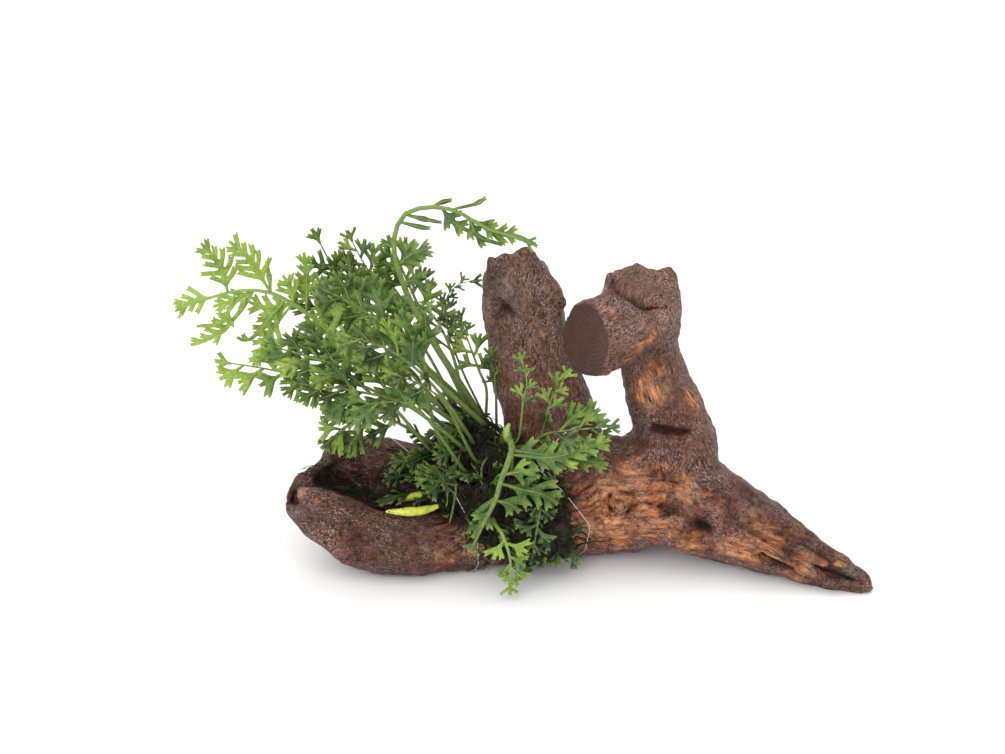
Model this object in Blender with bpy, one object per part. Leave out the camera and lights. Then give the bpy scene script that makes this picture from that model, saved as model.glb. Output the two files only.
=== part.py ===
"""African water fern tied with nylon thread to a branching piece of driftwood, lying on a flat surface.

The wood is a trunk with four limbs, cut apart at its forks. The fern is a root mat on the trunk, its
creeping rhizome with two pale growing tips, and one solid for each frond that rises from the crown.
Lengths in the tables below are millimetres. X runs along the trunk towards its thin tail, Y points
away from the viewer and Z is up. The origin is on the flat underside, below the middle of the trunk.
"""

import math
from collections import namedtuple

import bmesh
import bpy
from mathutils import Matrix, Vector
from mathutils.bvhtree import BVHTree

# Driving dimensions, in metres
MM = 0.001
GAP = 0.3 * MM
WOOD_VOXEL = 1.5 * MM
WOOD_TRIANGLES = 2000
HOLLOW_VOXEL = 0.8 * MM
HOLLOW_TRIANGLES = 160
SMOOTH_ROUNDS = 5
# How deep the rounded underside is worn flat where it rests
BED = 0.9 * MM

# Each station is (x, y, z, radius) in millimetres, in order along a limb
TRUNK = [
    [(-63, -6, 18.5, 3.8), (-56, -8, 15.5, 5.8), (-48, -9, 12, 7.4), (-39, -9, 9.8, 9.1), (-29, -8, 9, 9.3),
     (-19, -6, 9, 8.8), (-8, -3, 10, 9.6), (2, 0, 11.5, 11), (13, 3, 13.5, 13.3)],
    [(-60, -9, 25, 3.3), (-53, -11, 23, 4), (-46, -12, 20.5, 4), (-40, -12, 17, 3.4), (-34, -11, 13, 3.4)],
    [(-51, 11, 24, 5), (-44, 13, 22, 7.5), (-34, 13, 19, 8.5), (-24, 12, 16.5, 9), (-12, 9, 14.5, 9.5)],
    [(-51, 10, 25, 2.6), (-56, 6, 24.9, 2.4), (-61, 1, 23.4, 2.6), (-64, -3, 21.4, 2.6), (-63, -6, 18, 2.6)],
    [(-58, 1, 17.5, 4.6), (-52, 3, 14, 6.4), (-44, 4, 10.5, 7.6), (-34, 4, 9, 8.5), (-20, 4, 9, 9.4)],
    [(-12, 5, 12.5, 10.5), (0, 6, 14, 13.3), (10, 5, 15, 14.4), (21, 5, 17, 16.4), (32, 4, 17, 15.8),
     (43, 1, 16.3, 14.3), (51, -2, 15.5, 12.8), (60, -5, 13, 11), (69, -9, 9.4, 8.9), (79, -13, 6.4, 6.6),
     (85, -16, 4.6, 4.8), (91, -18.5, 3.2, 3.3), (94.5, -20, 2.4, 1.9)],
    [(-6, 1, 8.8, 9.4), (6, 1, 9.8, 10.4), (18, 3, 12, 12.4)],
    [(-6, 14, 10.4, 10), (12, 17, 11.8, 11.8), (30, 16, 12.4, 12.4), (47, 9, 10.9, 10.8)],
]
LEFT_STUMP = [
    [(10, 10, 19, 14), (8, 13, 30.5, 13.2), (5, 16, 41.5, 12.3), (2, 19, 51, 11.7), (0.5, 21, 59.5, 11.2),
     (-1, 22, 68.5, 10.4), (-2.2, 22.5, 77, 9.2), (-3.2, 23, 88, 7.4)],
    [(5, 19, 71.5, 4), (7, 19, 62.5, 4.6), (9, 18.5, 53, 5), (14, 12, 38.5, 6)],
]
RIGHT_STUMP = [
    [(41, 6, 21.5, 12.8), (42, 9, 31.5, 11.6), (39.5, 12, 39, 10.4), (36.6, 14, 46.5, 9.2),
     (34.6, 15, 53.5, 8.4), (33.8, 16, 61, 8.2), (33.6, 15.5, 66.5, 9.2), (32.4, 16, 73.5, 9.8),
     (31, 17.5, 82, 9.4)],
]
SAWN_BRANCH = [
    [(33, 15, 68.5, 9.5), (27, 10, 68, 9.6), (20, 5, 67.5, 10), (10, -2, 67, 10.4)],
]
# Hollows worn into the wood: the curled end of the left lobe and the arch under the front
HOLLOWS = [
    [(-68, -8, 23, 2.4), (-60, -5.5, 21.8, 2.2)],
    [(38.5, -22, 1.5, 10.5), (38.5, -6, 0.5, 8), (39, 5, -1, 4)],
]

# Saw and break faces: a point on the plane in millimetres and the direction in which the wood is gone
LEFT_STUMP_TOP = ((-3, 15, 84), (-0.2, 0.6, 0.8))
HEAD_TOP = ((32, 16, 76), (0.1, -0.06, 1))
SAWN_FACE = ((17.7, 0.6, 67.5), (-0.8, -0.55, 0.22))
UNDERSIDE = ((0, 0, 0), (0, 0, -1))

# Forks: a point on the cut, the direction that the limb grows in, half the width and the reach of it
LEFT_FORK = ((3, 14, 30), (-0.04, 0.1, 1), 22, 70)
RIGHT_FORK = ((43, 10, 33), (-0.09, 0.1, 1), 19, 60)
BRANCH_FORK = ((27.9, 8.2, 66.5), (-0.8, -0.6, 0), 12.7, 20)

# The dark mat of roots over the trunk, in stations as above
MAT_VOXEL = 1.5 * MM
MAT_TRIANGLES = 420
MAT_CLEARANCE = 0.7 * MM
SKIN_TRIANGLES = 900
ROOT_MAT = [
    [(-30, 8, 20, 5), (-22, 7, 21.5, 7.5), (-11, 8, 24, 9.5), (-3, 4, 22.5, 9), (4, 0, 20.5, 9),
     (11, -3, 20, 7)],
    [(-23, -1, 17, 5.5), (-14, -3, 18.5, 8), (-2, -5, 18.5, 8.5), (8, -7, 17.5, 7)],
    [(-12, -9, 13, 5.5), (0, -10, 12, 6), (9, -10, 12, 5.5)],
]
# Pale growing ends of the creeping rhizome: x and y in millimetres and radius; they rest on what is below
GROWING_TIPS = {
    "growing_tip_upper": [(-30.2, -1.2, 0.8), (-33, -1.4, 1.1), (-36, -1.2, 0.8)],
    "growing_tip_lower": [(-25.5, -9.5, 0.7), (-31, -10, 1.15), (-37, -9.5, 1.1), (-38.8, -9, 0.6)],
}
# Each turn of thread lies in a plane, taut over what it crosses: a point in it and its normal
THREAD_DIAMETER = 0.3 * MM
THREAD_TURNS = {
    "tie_thread_left": ((-33, 10, 29), (0.79, 0.6, 0.08)),
    "tie_thread_right": ((10.2, -8, 30), (0.65, 0.73, 0.2)),
}
THREAD_POINTS = 36
THREAD_STAND_OFF = 0.7 * MM
# The groove that lets a turn of thread pass under the wood: radius and reach in millimetres
GROOVE = (2.2, 40)

# A frond's route runs from its foot on the crown to its tip, in millimetres. stem is the diameter at
# the foot, and facing the direction that the upper side of the blade looks in. A pair of leaflets has
# its place as a share of the route, the length of its left and right leaflet and how far they spread
# from the midrib in degrees.
Frond = namedtuple("Frond", "name route stem facing pairs")
Pair = namedtuple("Pair", "share left right spread")
SPREAD = 52
# A place with no leaflets, where the stem only bends
BARE = (0, 0, SPREAD)
UP_FRONT = (0.1, -0.6, 0.8)
UP_LEFT = (-0.35, -0.5, 0.8)
UP_BACK = (0, 0.45, 0.9)


def even_pairs(first, count, reach):
    """Pairs from the first share to the tip, closer and shorter towards it."""
    pairs = []
    for number in range(count):
        rise = (number + 0.35) / count
        length = reach * math.sin(math.pi * (0.38 + 0.5 * rise))
        pairs.append(Pair(first + (0.97 - first) * rise ** 0.85, length, length, SPREAD))
    return pairs


FRONDS = [
    Frond("frond_far_left",
          [(-15, 9, 37.5), (-33, 12, 47), (-48, 12, 59.5), (-59.5, 10, 71), (-68.5, 8, 78),
           (-77.5, 6, 79.5), (-87, 4, 77.5), (-93, 3, 75.5)], 1.9, UP_FRONT,
          [Pair(0.56, 8, 14, 60), Pair(0.65, 17, 8, 70), Pair(0.76, 18, 16, 62), Pair(0.86, 8, 14, 58),
           Pair(0.94, 5, 5, 50)]),
    Frond("frond_arching",
          [(-10, 8, 39.5), (-16.5, 8, 47.5), (-24.5, 8, 62), (-31, 9, 75), (-34.5, 10, 86), (-35, 10, 93),
           (-32.5, 10, 100), (-26.5, 9, 103), (-18.5, 8, 102.5), (-11, 7, 98), (-5.5, 6, 96.5), (2.5, 5, 94)],
          2.2, UP_FRONT,
          [Pair(0.45, 4, 7, 80), Pair(0.51, 6, 10, 70), Pair(0.58, *BARE), Pair(0.65, *BARE),
           Pair(0.72, 4, 16, 32), Pair(0.8, 4, 4, 45), Pair(0.92, 4, 5, 40)]),
    Frond("frond_front",
          [(-4.5, -3, 40), (-4.5, -8, 42), (-3.5, -11.5, 41.5), (-4.5, -16, 39.5), (-6.5, -19, 35.5),
           (-8, -21, 30.5), (-11, -22, 24), (-14, -23, 17)], 2.4, UP_FRONT,
          [Pair(0.3, 26, 0, 98), Pair(0.5, 14, 5, 72), Pair(0.68, 7, 6, 60), Pair(0.84, 5, 5, 50)]),
    Frond("frond_palmate",
          [(-23, -3, 38), (-26, -8, 54), (-26.5, -10, 65.5), (-29, -9, 74.5), (-32.5, -8, 82)], 1.4, UP_FRONT,
          [Pair(0.44, 21, 5, 112), Pair(0.58, 16, 8, 84), Pair(0.74, 14, 8, 62), Pair(0.9, 5, 5, 50)]),
    Frond("frond_low_left",
          [(-26, 2, 32), (-39, -2, 52), (-51, -4, 57.5), (-63, -6, 61), (-72, -6, 63), (-80.5, -7, 65)],
          1.5, UP_FRONT, even_pairs(0.5, 4, 9)),
    Frond("frond_upper_left",
          [(-20.5, 12, 37.5), (-32, 19, 47.5), (-43, 24, 61), (-51, 27, 72), (-57, 29, 84)],
          1.7, UP_FRONT, even_pairs(0.5, 4, 12)),
    Frond("frond_tall_stalk",
          [(-16.5, 14, 37), (-27.5, 21, 53), (-37.5, 25, 66.5), (-44.5, 27, 77.5), (-48, 28, 85)],
          1.4, UP_FRONT, even_pairs(0.74, 3, 6)),
    Frond("frond_upper_middle", [(-13, 12, 38.5), (-23.5, 16, 56), (-31, 18, 73.5), (-36, 19, 87)],
          1.8, UP_FRONT, even_pairs(0.5, 4, 9)),
    Frond("frond_inner",
          [(-12, 2.5, 41), (-20, 1.5, 50), (-26.5, 0.5, 58), (-34.5, -0.5, 68.5), (-43.5, -1.5, 78),
           (-52.5, -2.5, 84)],
          2.2, UP_FRONT, even_pairs(0.5, 4, 12)),
    Frond("frond_thin",
          [(-10, 13.5, 37), (-17, 15.5, 49), (-21, 15.5, 62.5), (-21.5, 15.5, 71.5), (-18, 15.5, 76.5),
           (-13.5, 15.5, 77.5)], 1.0, UP_FRONT, even_pairs(0.6, 2, 3)),
    Frond("frond_stump_side",
          [(-8.5, 11, 39), (-10.5, 12, 45.5), (-12.5, 12, 51.5), (-15.5, 12, 61), (-17.5, 12, 68)],
          1.3, UP_FRONT, even_pairs(0.4, 3, 7)),
    Frond("frond_stump_straight", [(-7, 11.5, 36.5), (-8, 11.5, 47.5), (-9, 11.5, 56.5)],
          1.2, UP_FRONT, even_pairs(0.5, 2, 5)),
    Frond("sprig_front", [(-1.5, -3, 40), (-0.5, -4, 51), (0.5, -5, 58), (-1, -5, 64.5)],
          1.0, UP_FRONT, even_pairs(0.5, 2, 4)),
    Frond("sprig_right", [(4, -5, 40), (7, -6, 53), (11, -7, 61)], 0.9, UP_FRONT, even_pairs(0.5, 2, 5)),
    Frond("frond_right_flat", [(1, -5, 38), (6, -9, 44), (14.5, -11, 46.5), (23, -12, 48)],
          1.3, UP_FRONT, even_pairs(0.4, 3, 8)),
    Frond("frond_bottom", [(-8, -17, 20), (-6, -21, 19), (-4, -23.5, 13), (-4, -24.5, 5)],
          1.3, UP_FRONT, even_pairs(0.35, 3, 5)),
    Frond("frond_droop", [(2, -12, 30), (4, -18, 27), (3, -20, 19), (2, -20, 11.5)],
          1.2, UP_FRONT, even_pairs(0.4, 3, 6)),
    Frond("frond_over_ridge", [(-25, 5.5, 33), (-37.5, 4.5, 40.5), (-48, 2.5, 40), (-53.5, 0.5, 36)],
          1.3, UP_FRONT, even_pairs(0.4, 3, 8)),
    Frond("sprig_on_mat", [(-19, -6, 26), (-23, -11, 30), (-27, -13, 32)],
          0.9, UP_FRONT, even_pairs(0.4, 2, 6)),
    Frond("frond_left_1", [(-18, 2.5, 39.5), (-31.5, -3.5, 53.5), (-49.5, -7.5, 64), (-66.5, -7.5, 70)],
          1.7, UP_FRONT, even_pairs(0.4, 4, 13)),
    Frond("frond_left_2", [(-17, -4.5, 37), (-31.5, -12.5, 55), (-44.5, -15.5, 61), (-58, -15.5, 63)],
          1.6, UP_LEFT, even_pairs(0.4, 4, 11)),
    Frond("frond_left_3", [(-20.5, 16, 36), (-37.5, 19, 47), (-50.5, 19, 61.5), (-59.5, 18, 74.5)],
          1.8, UP_FRONT, even_pairs(0.45, 4, 12)),
    Frond("frond_fore_1", [(-14.5, -1.5, 37.5), (-24.5, -11.5, 60.5), (-35.5, -16.5, 74), (-47.5, -16.5, 78.5)],
          1.6, UP_LEFT, even_pairs(0.5, 4, 12)),
    Frond("frond_fore_2", [(-17.5, -6, 32), (-28, -17, 56), (-37, -21, 61), (-47.5, -21, 58)],
          1.4, UP_FRONT, even_pairs(0.4, 4, 11)),
    Frond("frond_fore_3", [(-14, -5, 34), (-21, -16, 57), (-27, -22, 66.5), (-35, -23, 71)],
          1.4, UP_FRONT, even_pairs(0.45, 3, 11)),
    Frond("frond_middle", [(-14.5, 17, 36), (-29.5, 23, 49), (-43, 23, 64.5), (-52, 22, 78.5)],
          1.6, UP_LEFT, even_pairs(0.45, 4, 11)),
    Frond("frond_back_1", [(-17, 16.5, 33), (-27, 28.5, 43), (-39, 37.5, 54), (-51, 42.5, 57)],
          1.6, UP_BACK, even_pairs(0.4, 4, 12)),
    Frond("frond_back_2", [(-16, 19.5, 31.5), (-20, 30.5, 45.5), (-26, 40.5, 53.5), (-34, 48.5, 54.5)],
          1.6, UP_BACK, even_pairs(0.4, 4, 11)),
    Frond("frond_back_3", [(-21, 15.5, 31), (-37, 23.5, 41), (-55, 29.5, 49), (-71, 33.5, 49)],
          1.6, UP_BACK, even_pairs(0.4, 4, 12)),
]
STEM_PIECES = 4
LEAF_THICKNESS = 0.5 * MM
LEAFLET_BASE = 1.4 * MM
LEAFLET_WIDTH = 0.42
LEAFLET_WIDEST = 0.45
# How far a leaflet's tip bends towards the frond's tip and down, as a share of its length
TIP_BEND = 0.12
# A frond's stem tapers to this share of its width at the tip
TAPER = 0.35
# Where along a stem its room is tested
TEST_SHARES = [step / 24 for step in range(25)]
CLEARANCE = 0.35 * MM
BURIED = 4 * MM
# A leaflet that would touch another turns about its own length by one of these, or is made shorter
TURNS = [math.radians(angle) for angle in (0, 22, -22, 44, -44, 66, -66)]
SHORTER = (1, 0.8, 0.6)


def clear_scene():
    for obj in list(bpy.data.objects):
        bpy.data.objects.remove(obj)


def material(name, colour, roughness, metallic=0.0):
    made = bpy.data.materials.new(name)
    made.use_nodes = True
    shader = made.node_tree.nodes["Principled BSDF"]
    shader.inputs["Base Color"].default_value = (*colour, 1)
    shader.inputs["Roughness"].default_value = roughness
    shader.inputs["Metallic"].default_value = metallic
    return made


def add_object(name, mesh, finish=None):
    obj = bpy.data.objects.new(name, mesh)
    bpy.context.scene.collection.objects.link(obj)
    if finish:
        mesh.materials.clear()
        mesh.materials.append(finish)
    return obj


def evaluated_mesh(obj):
    """A new mesh with all of the object's modifiers applied."""
    graph = bpy.context.evaluated_depsgraph_get()
    return bpy.data.meshes.new_from_object(obj.evaluated_get(graph), depsgraph=graph)


def link(mesh, start, end):
    """Adds one rounded link of a limb to the mesh: the hull round a ball at each end."""
    bm = bmesh.new()
    for x, y, z, radius in (start, end):
        place = Matrix.Translation((x * MM, y * MM, z * MM - BED))
        bmesh.ops.create_icosphere(bm, subdivisions=3, radius=radius * MM, matrix=place)
    made = bmesh.ops.convex_hull(bm, input=bm.verts[:])
    bmesh.ops.delete(bm, geom=made["geom_interior"], context="VERTS")
    bm.from_mesh(mesh)
    bm.to_mesh(mesh)
    bm.free()


def blended(name, limbs, voxel, triangles):
    """All the limbs joined in one smooth skin of about the given number of triangles."""
    mesh = bpy.data.meshes.new(name)
    for stations in limbs:
        for start, end in zip(stations, stations[1:]):
            link(mesh, start, end)
    obj = add_object(name, mesh)
    blend = obj.modifiers.new("blend", "REMESH")
    blend.mode = "VOXEL"
    blend.voxel_size = voxel
    smooth = obj.modifiers.new("smooth", "SMOOTH")
    smooth.iterations = SMOOTH_ROUNDS
    fine = evaluated_mesh(obj)
    thin = obj.modifiers.new("thin", "DECIMATE")
    thin.ratio = triangles / (2 * len(fine.polygons))
    made = evaluated_mesh(obj)
    bpy.data.objects.remove(obj)
    bpy.data.meshes.remove(fine)
    return made


def guide(name, mesh):
    """A cutter: it shapes other objects and isn't part of the model."""
    obj = add_object(name, mesh)
    obj.hide_render = True
    obj.display_type = "WIRE"
    return obj


def block(name, point, direction, half_width, length, grow=0.0):
    """A square block that starts at the point and runs along the direction, grown all round."""
    mesh = bpy.data.meshes.new(name)
    bm = bmesh.new()
    bmesh.ops.create_cube(bm, size=1)
    width = 2 * (half_width * MM + grow)
    tall = length * MM + 2 * grow
    bmesh.ops.scale(bm, vec=(width, width, tall), verts=bm.verts)
    bmesh.ops.translate(bm, vec=(0, 0, length * MM / 2), verts=bm.verts)
    along = Vector(direction).normalized()
    across = Vector((0, 1, 0)).cross(along).normalized()
    turn = Matrix((across, along.cross(across), along)).transposed()
    bmesh.ops.rotate(bm, matrix=turn, verts=bm.verts)
    bmesh.ops.translate(bm, vec=Vector(point) * MM, verts=bm.verts)
    bm.to_mesh(mesh)
    bm.free()
    return guide(name, mesh)


def boolean(obj, operation, other):
    cut = obj.modifiers.new(operation.lower() + " " + other.name, "BOOLEAN")
    cut.operation = operation
    cut.solver = "EXACT"
    cut.object = other


def underside_groove(point, normal):
    """The stations of a groove along the line where a turn of thread crosses the underside."""
    (x, y, z), (nx, ny, nz) = point, normal
    step = nz * z / (nx * nx + ny * ny)
    start = Vector((x + nx * step, y + ny * step, 0))
    along = Vector((-ny, nx, 0)).normalized()
    radius, reach = GROOVE
    return [(*(start + along * side * reach), radius) for side in (-1, 1)]


def build_wood(finish):
    limbs = TRUNK + LEFT_STUMP + RIGHT_STUMP + SAWN_BRANCH
    blank = blended("wood blank", limbs, WOOD_VOXEL, WOOD_TRIANGLES)
    cutters = [
        block("left stump top cut", *LEFT_STUMP_TOP, 20, 20),
        block("head top cut", *HEAD_TOP, 20, 20),
        block("sawn face cut", *SAWN_FACE, 14, 20),
        block("underside cut", *UNDERSIDE, 150, 20),
    ]
    grooves = [underside_groove(*turn) for turn in THREAD_TURNS.values()]
    for number, stations in enumerate(HOLLOWS + grooves):
        mesh = blended("hollow", [stations], HOLLOW_VOXEL, HOLLOW_TRIANGLES)
        cutters.append(guide(f"hollow {number + 1}", mesh))
    whole = add_object("whole wood", blank)
    for cutter in cutters:
        boolean(whole, "DIFFERENCE", cutter)
    wood = evaluated_mesh(whole)
    bpy.data.objects.remove(whole)
    forks = {
        "driftwood_sawn_branch": BRANCH_FORK,
        "driftwood_right_stump": RIGHT_FORK,
        "driftwood_left_stump": LEFT_FORK,
    }
    trunk = add_object("driftwood_trunk", wood.copy(), finish)
    above = []
    for name, fork in forks.items():
        limb = add_object(name, wood.copy(), finish)
        for cutter in above:
            boolean(limb, "DIFFERENCE", cutter)
        boolean(limb, "INTERSECT", block(name + " block", *fork))
        above.append(block(name + " kerf", *fork, GAP))
    for cutter in above:
        boolean(trunk, "DIFFERENCE", cutter)


def build_root_mat(finish):
    """The mat is a blended lump with the wood under it cut away."""
    lump = add_object("root_mat", blended("root mat", ROOT_MAT, MAT_VOXEL, MAT_TRIANGLES), finish)
    thick = []
    for stations in TRUNK + LEFT_STUMP:
        thick.append([(x, y, z, radius + MAT_CLEARANCE / MM) for x, y, z, radius in stations])
    boolean(lump, "DIFFERENCE", guide("wood skin", blended("wood skin", thick, WOOD_VOXEL, SKIN_TRIANGLES)))
    return lump


def tree_of(obj):
    return BVHTree.FromObject(obj, bpy.context.evaluated_depsgraph_get())


def rest_height(trees, x, y, radius):
    """The height at which a ball let down at x and y comes to rest on the first surface it meets."""
    heights = []
    for share in (0, 0.5, 0.9):
        for step in range(8):
            angle = step * math.pi / 4
            start = Vector((x + radius * share * math.cos(angle), y + radius * share * math.sin(angle), 0.2))
            hits = [tree.ray_cast(start, Vector((0, 0, -1)))[0] for tree in trees]
            heights.append(max(hit.z for hit in hits if hit) + radius * math.sqrt(1 - share * share))
    return max(heights)


def build_growing_tip(name, finish, ground):
    stations = []
    for start, end in zip(GROWING_TIPS[name], GROWING_TIPS[name][1:]):
        for share in (0, 1 / 3, 2 / 3, 1):
            x, y, radius = (a + (b - a) * share for a, b in zip(start, end))
            height = rest_height(ground, x * MM, y * MM, radius * MM) + GAP + BED
            stations.append((x, y, height / MM, radius))
    return add_object(name, blended(name, [stations], 0.4 * MM, 90), finish)


def section(objects, origin, normal):
    """The points where the plane cuts the objects' edges."""
    points = []
    for obj in objects:
        bm = bmesh.new()
        mesh = evaluated_mesh(obj)
        bm.from_mesh(mesh)
        geometry = bm.verts[:] + bm.edges[:] + bm.faces[:]
        cut = bmesh.ops.bisect_plane(bm, geom=geometry, plane_co=origin, plane_no=normal)["geom_cut"]
        points += [item.co.copy() for item in cut if isinstance(item, bmesh.types.BMVert)]
        bm.free()
    return points


def taut_loop(points, normal, stand_off):
    """The shortest loop in the plane round the points, stood off outwards from them."""
    centre = sum(points, Vector()) / len(points)
    across = normal.orthogonal().normalized()
    up = normal.cross(across)
    flat = sorted(((p - centre).dot(across), (p - centre).dot(up)) for p in points)
    hull = []
    for run in (flat, flat[::-1]):
        side = []
        for q in run:
            while len(side) > 1:
                (ax, ay), (bx, by) = side[-2:]
                if (bx - ax) * (q[1] - ay) - (by - ay) * (q[0] - ax) > 0:
                    break
                side.pop()
            side.append(q)
        hull += side[:-1]
    loop = [centre + across * a + up * b for a, b in hull]
    return [p + (p - centre).normalized() * stand_off for p in loop]


def even_loop(points, count):
    """The closed loop through the points, with its points spread evenly along it."""
    ring = points + points[:1]
    lengths = [0.0]
    for start, end in zip(ring, ring[1:]):
        lengths.append(lengths[-1] + (end - start).length)
    made = []
    for number in range(count):
        target = lengths[-1] * number / count
        index = max(i for i, length in enumerate(lengths[:-1]) if length <= target)
        share = (target - lengths[index]) / (lengths[index + 1] - lengths[index])
        made.append(ring[index].lerp(ring[index + 1], share))
    return made


def build_thread(name, finish, held):
    point, normal = THREAD_TURNS[name]
    normal = Vector(normal).normalized()
    loop = taut_loop(section(held, Vector(point) * MM, normal), normal, THREAD_STAND_OFF)
    loop = even_loop(loop, THREAD_POINTS)
    curve = bpy.data.curves.new(name, "CURVE")
    curve.dimensions = "3D"
    curve.bevel_depth = THREAD_DIAMETER / 2
    curve.bevel_resolution = 0
    spline = curve.splines.new("POLY")
    spline.points.add(len(loop) - 1)
    for place, control in zip(loop, spline.points):
        control.co = (*place, 1)
    spline.use_cyclic_u = True
    return add_object(name, curve, finish)


def smooth_route(points, count):
    """Evenly spaced points along a smooth curve through the given ones."""
    ends = [2 * points[0] - points[1], *points, 2 * points[-1] - points[-2]]
    fine = []
    for a, b, c, d in zip(ends, ends[1:], ends[2:], ends[3:]):
        for part in range(12):
            t = part / 12
            bend = (2 * a - 5 * b + 4 * c - d) * t + (3 * b - a - 3 * c + d) * t * t
            fine.append(b + ((c - a) + bend) * t / 2)
    fine.append(points[-1])
    lengths = [0.0]
    for start, end in zip(fine, fine[1:]):
        lengths.append(lengths[-1] + (end - start).length)
    made, index = [], 0
    for number in range(count + 1):
        target = lengths[-1] * number / count
        while index < len(fine) - 2 and lengths[index + 1] < target:
            index += 1
        share = (target - lengths[index]) / (lengths[index + 1] - lengths[index])
        made.append(fine[index].lerp(fine[index + 1], share))
    return made


class Spine:
    """A frond's stem and midrib as a smooth line, with the way across the blade and its width."""

    STEPS = 120

    def __init__(self, frond, foot):
        points = [foot] + [Vector(place) * MM for place in frond.route[1:]]
        self.line = smooth_route(points, self.STEPS)
        self.length = sum((b - a).length for a, b in zip(self.line, self.line[1:]))
        self.width = frond.stem * MM
        self.facing = Vector(frond.facing)

    def at(self, share):
        return self.line[round(min(max(share, 0), 1) * self.STEPS)]

    def along(self, share):
        step = 3 / self.STEPS
        return (self.at(share + step) - self.at(share - step)).normalized()

    def across(self, share):
        return self.facing.cross(self.along(share)).normalized()

    def half(self, share):
        return self.width * (1 + (TAPER - 1) * share) / 2


def stem_shares(frond, spine):
    """Where the ribbon's edges lie along the spine, with two edges for each pair of leaflets."""
    half_base = LEAFLET_BASE / spine.length / 2
    stem_end = frond.pairs[0].share - half_base
    shares = [stem_end * step / STEM_PIECES for step in range(STEM_PIECES)]
    for pair in frond.pairs:
        shares += [pair.share - half_base, pair.share + half_base]
    return shares + [1]


def tube_tree(spine, shares, margin):
    """A square tube round the stem, for finding what it would touch."""
    corners, faces = [], []
    for share in shares:
        place, side, half = spine.at(share), spine.across(share), spine.half(share) + margin
        out = spine.along(share).cross(side)
        corners += [place + (side * a + out * b) * half for a, b in ((1, 1), (-1, 1), (-1, -1), (1, -1))]
    for ring in range(len(shares) - 1):
        for corner in range(4):
            after = (corner + 1) % 4
            faces.append([4 * ring + corner, 4 * ring + after, 4 * ring + 4 + after, 4 * ring + 4 + corner])
    faces += [[0, 1, 2, 3], [4 * len(shares) - number for number in (1, 2, 3, 4)]]
    return BVHTree.FromPolygons(corners, faces)


def clear_of_ground(points, ground, margin):
    """True if no point is nearer than the margin, and none is just under a surface."""
    for tree in ground:
        for point in points:
            near, normal, _, distance = tree.find_nearest(point)
            buried = (point - near).dot(normal) < 0 and distance < BURIED
            if buried or distance < margin:
                return False
    return all(point.z > margin for point in points)


def stand_stem(frond, mat):
    """The frond's spine, with its foot moved onto the nearest place on the root mat."""
    near, normal, _, _ = mat.find_nearest(Vector(frond.route[0]) * MM)
    return Spine(frond, near + normal * (frond.stem * MM / 2 + GAP + CLEARANCE))


def leaflet_outline(spine, pair, side, length, turn):
    """Base, widest and tip edges of one leaflet, as pairs of points, and its upper side's direction."""
    share, spread = pair.share, math.radians(pair.spread)
    half_base = LEAFLET_BASE / spine.length / 2
    edge = spine.across(share) * side
    base = [spine.at(s) + edge * spine.half(s) for s in (share - half_base, share + half_base)]
    along = spine.along(share)
    out = along * math.cos(spread) + edge * math.sin(spread)
    up = along.cross(edge) * side
    wide = (Matrix.Rotation(turn, 3, out) @ up).cross(out).normalized() * LEAFLET_WIDTH * length / 2
    middle = (base[0] + base[1]) / 2 + out * length * LEAFLET_WIDEST
    tip = (base[0] + base[1]) / 2 + (out + (along - up) * TIP_BEND) * length
    if (middle - wide - base[0]).length > (middle + wide - base[0]).length:
        wide = -wide
    return base, [middle - wide, middle + wide], tip


def leaflet_tree(outline, margin):
    (a, b), (c, d), tip = outline
    normal = (d - a).cross(b - c).normalized() * (LEAF_THICKNESS / 2 + margin)
    centre = (c + d) / 2
    flat = [centre + (p - centre) * (1 + 2 * margin / (p - centre).length) for p in (c, d, tip)]
    corners = [p + normal for p in (a, b, flat[1], flat[2], flat[0])]
    corners += [p - normal for p in (a, b, flat[1], flat[2], flat[0])]
    faces = [[0, 1, 2, 4], [4, 2, 3], [6, 5, 9, 7], [7, 9, 8]]
    faces += [[k, (k + 1) % 5, 5 + (k + 1) % 5, 5 + k] for k in range(5)]
    return BVHTree.FromPolygons(corners, faces)


def fit_leaflet(spine, pair, side, ground, taken):
    """The outline of the longest leaflet that has room, or None."""
    reach = (pair.left if side > 0 else pair.right) * MM
    for shorter in SHORTER if reach else ():
        for turn in TURNS:
            outline = leaflet_outline(spine, pair, side, reach * shorter, turn)
            (_, _), (c, d), tip = outline
            if not clear_of_ground([c, d, tip, (c + d) / 2], ground, LEAF_THICKNESS / 2 + GAP):
                continue
            body = leaflet_tree(outline, CLEARANCE)
            if not any(body.overlap(tree) for tree in taken + ground):
                return outline
    return None


def extend(bm, thickness, ends, places, depth):
    """Extrudes the ribbon's last edge to a new place and gives it its thickness."""
    made = bmesh.ops.extrude_edge_only(bm, edges=[bm.edges.get(ends)])
    fresh = [item for item in made["geom"] if isinstance(item, bmesh.types.BMVert)]
    new = []
    for old, place in zip(ends, places):
        vert = next(v for v in fresh if bm.edges.get((old, v)))
        vert.co = place
        vert[thickness][0] = depth
        new.append(vert)
    return new


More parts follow.
